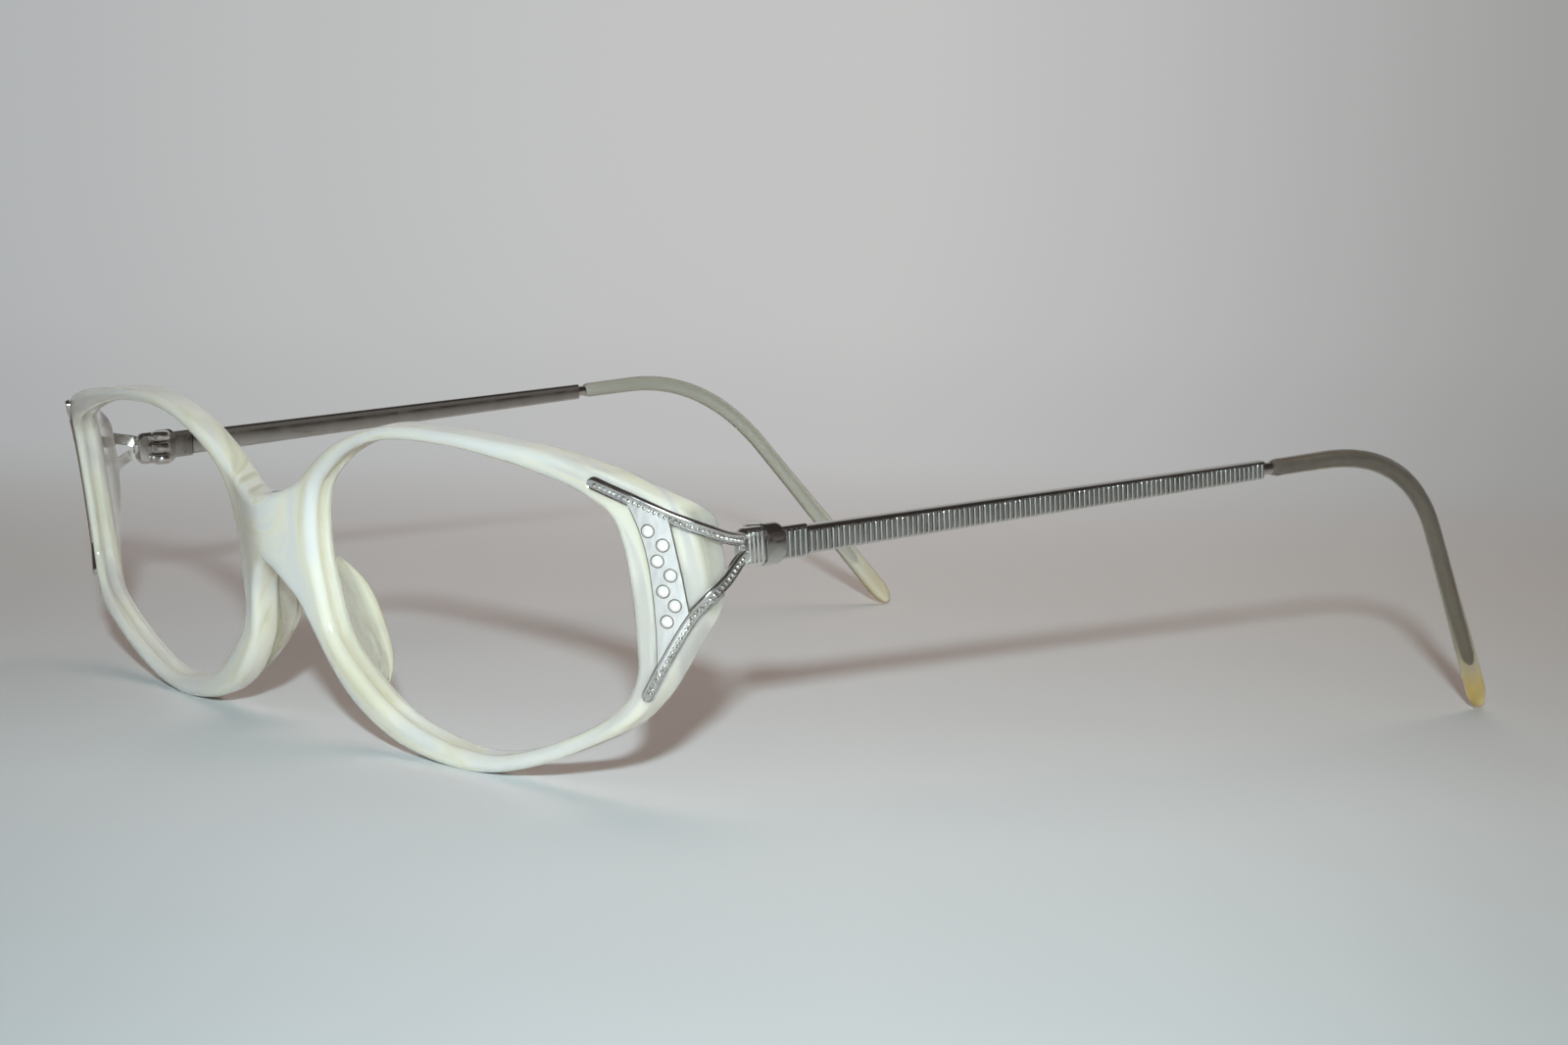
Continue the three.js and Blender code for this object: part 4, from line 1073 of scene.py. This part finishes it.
def make_bezels():
    """A thin raised ring round each stone, in dark metal: painted shade of the gap round each seat."""
    shape = Shape()
    top = PLATE_LIFT + PLATE_HEIGHT
    reach = CRYSTAL_RADIUS + BEZEL_GAP
    rings = []
    for t in np.linspace(0, 2 * math.pi, 33):
        rings.append([
            ((reach + x) * math.cos(t), (reach + x) * math.sin(t), top + y)
            for x, y, _ in circle(BEZEL_RADIUS, 0, 8)
        ])
    for arc, z in crystal_places:
        shape.join(tube(rings, caps=False).moved(stone_matrix(arc, z)))
    return shape


bezel_shape = make_bezels()


# Temples, in the hinge's frame

cuff_back = split + CUFF_LENGTH
panel_back = cuff_back + PANEL_LENGTH
bar_middle = (BAR_INNER + BAR_OUTER) / 2
bar_front = panel_back + SOLID_GAP
bar_back = bar_front + BAR_LENGTH
tip_front = bar_back + NECK_LENGTH


def make_cuff():
    """The smooth saddle, the ribbed panel behind it and the middle barrel."""
    shape = Shape().join(
        soft_block(
            split, cuff_back, CUFF_HEIGHT, BLOCK_INNER, BLOCK_OUTER + 0.15,
            front_corner=0.1, back_corner=0.9, crown=0.9, soft=0.1, bulge=0.4,
        ),
        soft_block(
            cuff_back - 0.6, panel_back, PANEL_HEIGHT, BAR_INNER, BAR_OUTER - RIB_RELIEF,
            front_corner=0.1, back_corner=0.12, crown=0.3, soft=0.05, bulge=0.0,
        ),
        barrel(-middle_half, middle_half),
    )
    pitch = PANEL_LENGTH / PANEL_RIBS
    half = PANEL_HEIGHT / 2
    add_ribs(shape, cuff_back, pitch, PANEL_RIBS, BAR_OUTER - RIB_RELIEF - 0.03, RIB_RELIEF + 0.03,
             lambda y: 0.06 - half, lambda y: half - 0.3, fill=0.7)
    return shape


def bar_height(y):
    return lerp(BAR_FRONT_HEIGHT, BAR_BACK_HEIGHT, (y - bar_front) / BAR_LENGTH)


def bar_lip(y):
    return lerp(LIP_FRONT, LIP_BACK, (y - bar_front) / BAR_LENGTH)


drop_way = np.array([
    -math.sin(INWARD_ANGLE),
    math.cos(INWARD_ANGLE) * math.cos(BEND_ANGLE),
    -math.cos(INWARD_ANGLE) * math.sin(BEND_ANGLE),
])
bend_corner = np.array([bar_middle, tip_front + TIP_STRAIGHT, 0])


def tip_route(start, end, count):
    """The line from the bar's end over the bend and down the drop."""
    bend_from = bend_corner - np.array([0, BEND_REACH, 0])
    bend_to = bend_corner + drop_way * BEND_REACH
    line = np.vstack([
        np.linspace((bar_middle, start, 0), bend_from, 30)[:-1],
        quadratic(bend_from, bend_corner, bend_to, 60)[:-1],
        np.linspace(bend_to, bend_corner + drop_way * end, 50),
    ])
    return spaced(line, count)


def swept(line, radii, sides, values=None):
    """A skin of ellipses along a line; its flow says which way each point faces."""
    turns = circle(1, 0, sides)
    along = np.gradient(line, axis=0)
    along /= np.linalg.norm(along, axis=1)[:, None]
    up = np.cross(along, np.array([1.0, 0, 0]))
    up /= np.linalg.norm(up, axis=1)[:, None]
    across = np.cross(up, along)
    rings = []
    for p, a, u, (ra, ru) in zip(line, across, up, radii):
        rings.append([p + a * (ra * x) + u * (ru * y) for x, y, _ in turns])
    skin = tube(rings, values=values)
    skin.flow = [(x, 0.0, 0.0) for _ in rings for x, _, _ in turns]
    return skin


def make_bar():
    """Bar: a slab with a rounded upper edge, upright ribs outside and a neck behind."""
    rings = []
    base = BAR_OUTER - RIB_RELIEF
    soft, crown = BAR_SOFT, BAR_CROWN
    corner = BAR_INNER + soft
    edge = BAR_OUTER - BAR_EDGE_INSET - crown
    bends = np.linspace(0, math.pi / 2, 7)
    for y in np.linspace(bar_front, bar_back, 64):
        h, lip = bar_height(y) / 2, bar_lip(y)
        high, low = h - soft, -h + soft
        ring = [(BAR_INNER, y, low), (BAR_INNER, y, high)]
        ring += [(corner - soft * math.cos(a), y, high + soft * math.sin(a)) for a in bends[1:]]
        ring += [(edge + crown * math.sin(a), y, h - lip + lip * math.cos(a)) for a in bends]
        ring += [(base, y, h - lip - 0.06), (base, y, low)]
        ring += [(base - soft + soft * math.cos(a), y, low - soft * math.sin(a)) for a in bends[1:]]
        ring += [(corner - soft * math.sin(a), y, low - soft * math.cos(a)) for a in bends[:-1]]
        rings.append(ring)
    shape = Shape().join(tube(rings))
    pitch = BAR_LENGTH / RIB_COUNT
    add_ribs(shape, bar_front, pitch, RIB_COUNT, base - 0.03, RIB_RELIEF + 0.03,
             lambda y: 0.1 - bar_height(y) / 2,
             lambda y: bar_height(y) / 2 - bar_lip(y) + 0.05, fill=0.66)
    neck = np.linspace((bar_middle, bar_back - 0.5, 0), (bar_middle, tip_front + 0.3, 0), 8)
    return shape.join(swept(neck, [(NECK_RADIUS, NECK_RADIUS)] * len(neck), 24))


def make_core():
    """The wire inside the tip, drawn a little thicker so that it shows."""
    line = tip_route(bar_back - 0.4, TIP_DROP - TIP_CLEAR_END, 80)
    radii = [CORE_RADIUS * CORE_SHOWN] * (len(line) - 2) + [CORE_RADIUS, CORE_END]
    return swept(line + np.array([CORE_OUTWARD, 0, 0]), [(r, r) for r in radii], 20)


def make_tip_shape():
    """The tip: oval, wider towards its round end."""
    line = tip_route(tip_front, TIP_DROP, 130)
    share = np.linspace(0, 1, len(line))
    early = np.minimum(share / (TIP_STRAIGHT / run_of(line)[-1]), 1)
    late = fade((share - 0.55) / 0.4)
    width = lerp(lerp(TIP_FRONT_WIDTH, TIP_BEND_WIDTH, early), TIP_END_WIDTH, late)
    nose = np.sqrt(1 - np.maximum((share - 0.95) / 0.05, 0) ** 2 * 0.97)
    mouth = np.minimum(0.75 + share / 0.01 * 0.25, 1)
    radii = [(TIP_THICKNESS / 2 * n * m, w / 2 * n * m) for n, m, w in zip(nose, mouth, width)]
    return swept(line, radii, 28, share)


cuff_shape = make_cuff()
bar_shape = make_bar()
core_shape = make_core()
tip_shape = make_tip_shape()


# Name, shape, material, slot, solid that it stands for, and angle of its sharp edges
ON_FRONT = [
    ("pad", pad_shape, pad_acetate, "pad_acetate", "nose_pad", 60),
    ("end", endpiece_shape, cast, "polished_metal", "endpiece", 40),
    ("plate", plate_shape, satin, "satin_metal", "stone_plate", 30),
    ("seam", seam_shape, dark_metal_and_painted_shade, "satin_metal", None, 60),
    ("bezels", bezel_shape, dark_metal_and_painted_shade, "polished_metal", None, 60),
]
ON_TEMPLE = [
    ("cuff", cuff_shape, polished, "polished_metal", "hinge_cuff", 40),
    ("bar", bar_shape, polished, "polished_metal", "temple_bar", 40),
    ("core", core_shape, dark_metal_and_painted_shade, "polished_metal", None, 60),
    ("tip", tip_shape, tip_acetate, "tip_acetate", "temple_tip", 60),
]


def sided(shape, side):
    return shape if side == "left" else shape.mirrored()


for side in ("left", "right"):
    for name, shape, material, slot, node, sharp in ON_FRONT:
        nodes = [f"{node}_{side}"] if node else []
        piece(f"{name}_{side}", sided(shape, side), material, "front", nodes, sharp)
    for k, (arc, z) in enumerate(crystal_places, 1):
        stone = sided(crystal_shape.moved(stone_matrix(arc, z)), side)
        nodes = [f"crystal_{side}_{k}"]
        piece(f"stone_{side}_{k}", stone, crystal_glass, "front", nodes, 1)
    for name, shape, material, slot, node, sharp in ON_TEMPLE:
        nodes = [f"{node}_{side}"] if node else []
        placed = sided(shape.moved(hinge_matrix), side)
        piece(f"{name}_{side}", placed, material, f"{side}_temple", nodes, sharp)
    screw = frame["nodes"][f"hinge_screw_{side}"]
    screw.data.materials.clear()
    screw.data.materials.append(polished)


# Camera

azimuth, elevation, roll = 51.92 * DEG, 5.83 * DEG, 1.32 * DEG
forward = Vector((
    -math.sin(azimuth) * math.cos(elevation),
    math.cos(azimuth) * math.cos(elevation),
    -math.sin(elevation),
))
level = Vector((math.cos(azimuth), math.sin(azimuth), 0))
upright = level.cross(forward)
right = level * math.cos(roll) + upright * math.sin(roll)
upward = upright * math.cos(roll) - level * math.sin(roll)
camera_data = bpy.data.cameras.new("camera")
camera_data.sensor_width = SENSOR_WIDTH
camera_data.lens = FOCAL_PIXELS / PHOTO_WIDTH * SENSOR_WIDTH
camera_data.clip_start = 0.01
camera = bpy.data.objects.new("camera", camera_data)
place = Vector((CAMERA_X, CAMERA_Y + shift.y, CAMERA_Z)) * MM
facing = Matrix((right, upward, -forward)).transposed().to_4x4()
camera.matrix_world = Matrix.Translation(place) @ facing
scene.collection.objects.link(camera)
scene.camera = camera


# Floor that sweeps up far behind, in its own frame: local +Y runs away from the camera


def make_paper():
    """Pale paper with painted light: its colour runs from side to side as the camera sees it, a painted
    pool of lamp light, and far off it glows with painted light.
    """
    material, look = new_material("paper")
    coords = look.add("TexCoord").outputs["Object"]
    x, y, z = look.split(coords)
    grain = look.noise(coords, 900, 3)
    sideways = look.math("SUBTRACT", x, CAMERA_SIDE)
    depth = look.math("MAXIMUM", look.math("ADD", y, CAMERA_BACK), LEAST_DEPTH)
    slant = look.math("DIVIDE", sideways, depth)
    mottled = look.math("MULTIPLY_ADD", grain, 0.01, slant)
    spread = look.math("MULTIPLY_ADD", mottled, 1 / SLANT_SPAN, -SLANT_FROM / SLANT_SPAN)
    # Painted light: palest in a band ahead of the camera and darker to both sides, a painted pool of
    # the lamp's light
    colour = look.ramp(spread, [
        (0.0, (0.62, 0.635, 0.64)),
        (0.09, (0.70, 0.72, 0.725)),
        (0.18, (0.785, 0.80, 0.805)),
        (0.26, (0.84, 0.845, 0.845)),
        (0.365, (0.87, 0.87, 0.865)),
        (0.46, (0.84, 0.845, 0.84)),
        (0.52, (0.79, 0.795, 0.785)),
        (0.575, (0.72, 0.72, 0.71)),
        (0.67, (0.65, 0.645, 0.635)),
        (0.83, (0.58, 0.575, 0.565)),
        (1.0, (0.58, 0.575, 0.565)),
    ])
    # Painted shade towards the camera, where the lamp is near, and painted light behind the object,
    # evening out the lamp's falloff
    painted_shade_ahead = look.span(y, -0.215, -0.06, 0.7, 1.0)
    behind = look.span(y, -0.16, 0.2, 1.0, 1.14)
    painted_falloff_colour = look.add("VectorMath")
    painted_falloff_colour.operation = "SCALE"
    look.fill(painted_falloff_colour, {0: colour, "Scale": look.math("MULTIPLY", painted_shade_ahead, behind)})
    look.shade({
        "Base Color": painted_falloff_colour.outputs["Vector"],
        "Roughness": 0.9,
        "Specular IOR Level": 0.1,
    })
    # Painted light: the far part glows, only for rays that are seen, so that it lights nothing
    rising = look.span(look.math("MULTIPLY_ADD", z, 1.5, y), 0.1, 1.3, 0.58, 0.635)
    level_off = look.span(spread, 0.34, 0.6, 1.0, 0.77)
    strength = look.math("MULTIPLY", rising, level_off)
    painted_glow = look.fill(look.add("Emission"), {"Color": colour, "Strength": strength})
    rays = look.add("LightPath").outputs
    seen = look.math("MAXIMUM", rays["Is Camera Ray"], rays["Is Glossy Ray"])
    seen = look.math("MAXIMUM", seen, rays["Is Transmission Ray"])
    share = look.math("MULTIPLY", seen, look.span(y, 0.05, 0.37, 0, 1))
    paper = look.nodes["Principled BSDF"].outputs[0]
    mix = look.fill(look.add("MixShader"), {0: share, 1: paper, 2: painted_glow.outputs[0]})
    look.fill(look.nodes["Material Output"], {"Surface": mix.outputs[0]})
    return material


def make_stage():
    """The floor, its bend and the wall behind, in millimetres."""
    bend_from, bend_radius, half_width = 900, 400, 4200
    wall = bend_from + bend_radius
    profile = [(y, 0) for y in (-3600, -1500, -600, -300, 0, 300, 600, bend_from)]
    for k in range(1, 13):
        a = k / 12 * math.pi / 2
        profile.append((bend_from + bend_radius * math.sin(a), bend_radius - bend_radius * math.cos(a)))
    profile += [(wall, 900), (wall, 1600)]
    sides = np.linspace(-half_width, half_width, 25)
    pts = [(x * MM, y * MM, z * MM) for y, z in profile for x in sides]
    mesh = bpy.data.meshes.new("floor")
    mesh.from_pydata(pts, [], grid_faces(len(profile), len(sides)))
    mesh.polygons.foreach_set("use_smooth", [True] * len(mesh.polygons))
    mesh.materials.append(make_paper())
    floor = bpy.data.objects.new("floor", mesh)
    floor.rotation_euler = (0, 0, azimuth)
    scene.collection.objects.link(floor)


make_stage()


# Light: a small lamp beside the camera, a broad one above, and a dim room


def area_light(name, place, target, size, power, colour, shows_in_gloss=True):
    """A round lamp: place, target and size in millimetres, power in watts."""
    data = bpy.data.lights.new(name, "AREA")
    data.shape = "DISK"
    data.size = size * MM
    data.energy = power
    data.color = colour
    data.spread = LAMP_SPREAD
    lamp = bpy.data.objects.new(name, data)
    lamp.location = Vector(place) * MM
    lamp.rotation_mode = "QUATERNION"
    lamp.rotation_quaternion = (Vector(target) - Vector(place)).to_track_quat("-Z", "Y")
    lamp.visible_glossy = shows_in_gloss
    scene.collection.objects.link(lamp)


area_light("key", (400, -312, 152), (0, 0, 10), 22, 1.56, (0.83, 1.0, 1.05))
area_light("above", (-250, 300, 900), (0, 0, 0), 900, 1.7, (1.0, 0.80, 0.70), False)

world = bpy.data.worlds.new("room")
scene.world = world
world.use_nodes = True
room = Look(world.node_tree)
height = room.split(room.add("TexCoord").outputs["Generated"])["Z"]
sky = room.ramp(room.span(height, -0.1, 0.5, 0, 1), [
    (0.0, (0.24, 0.225, 0.215)),
    (0.3, (0.10, 0.088, 0.08)),
    (1.0, (0.05, 0.042, 0.04)),
])
room.fill(room.nodes["Background"], {"Color": sky, "Strength": 1.0})

scene.view_settings.view_transform = "Standard"
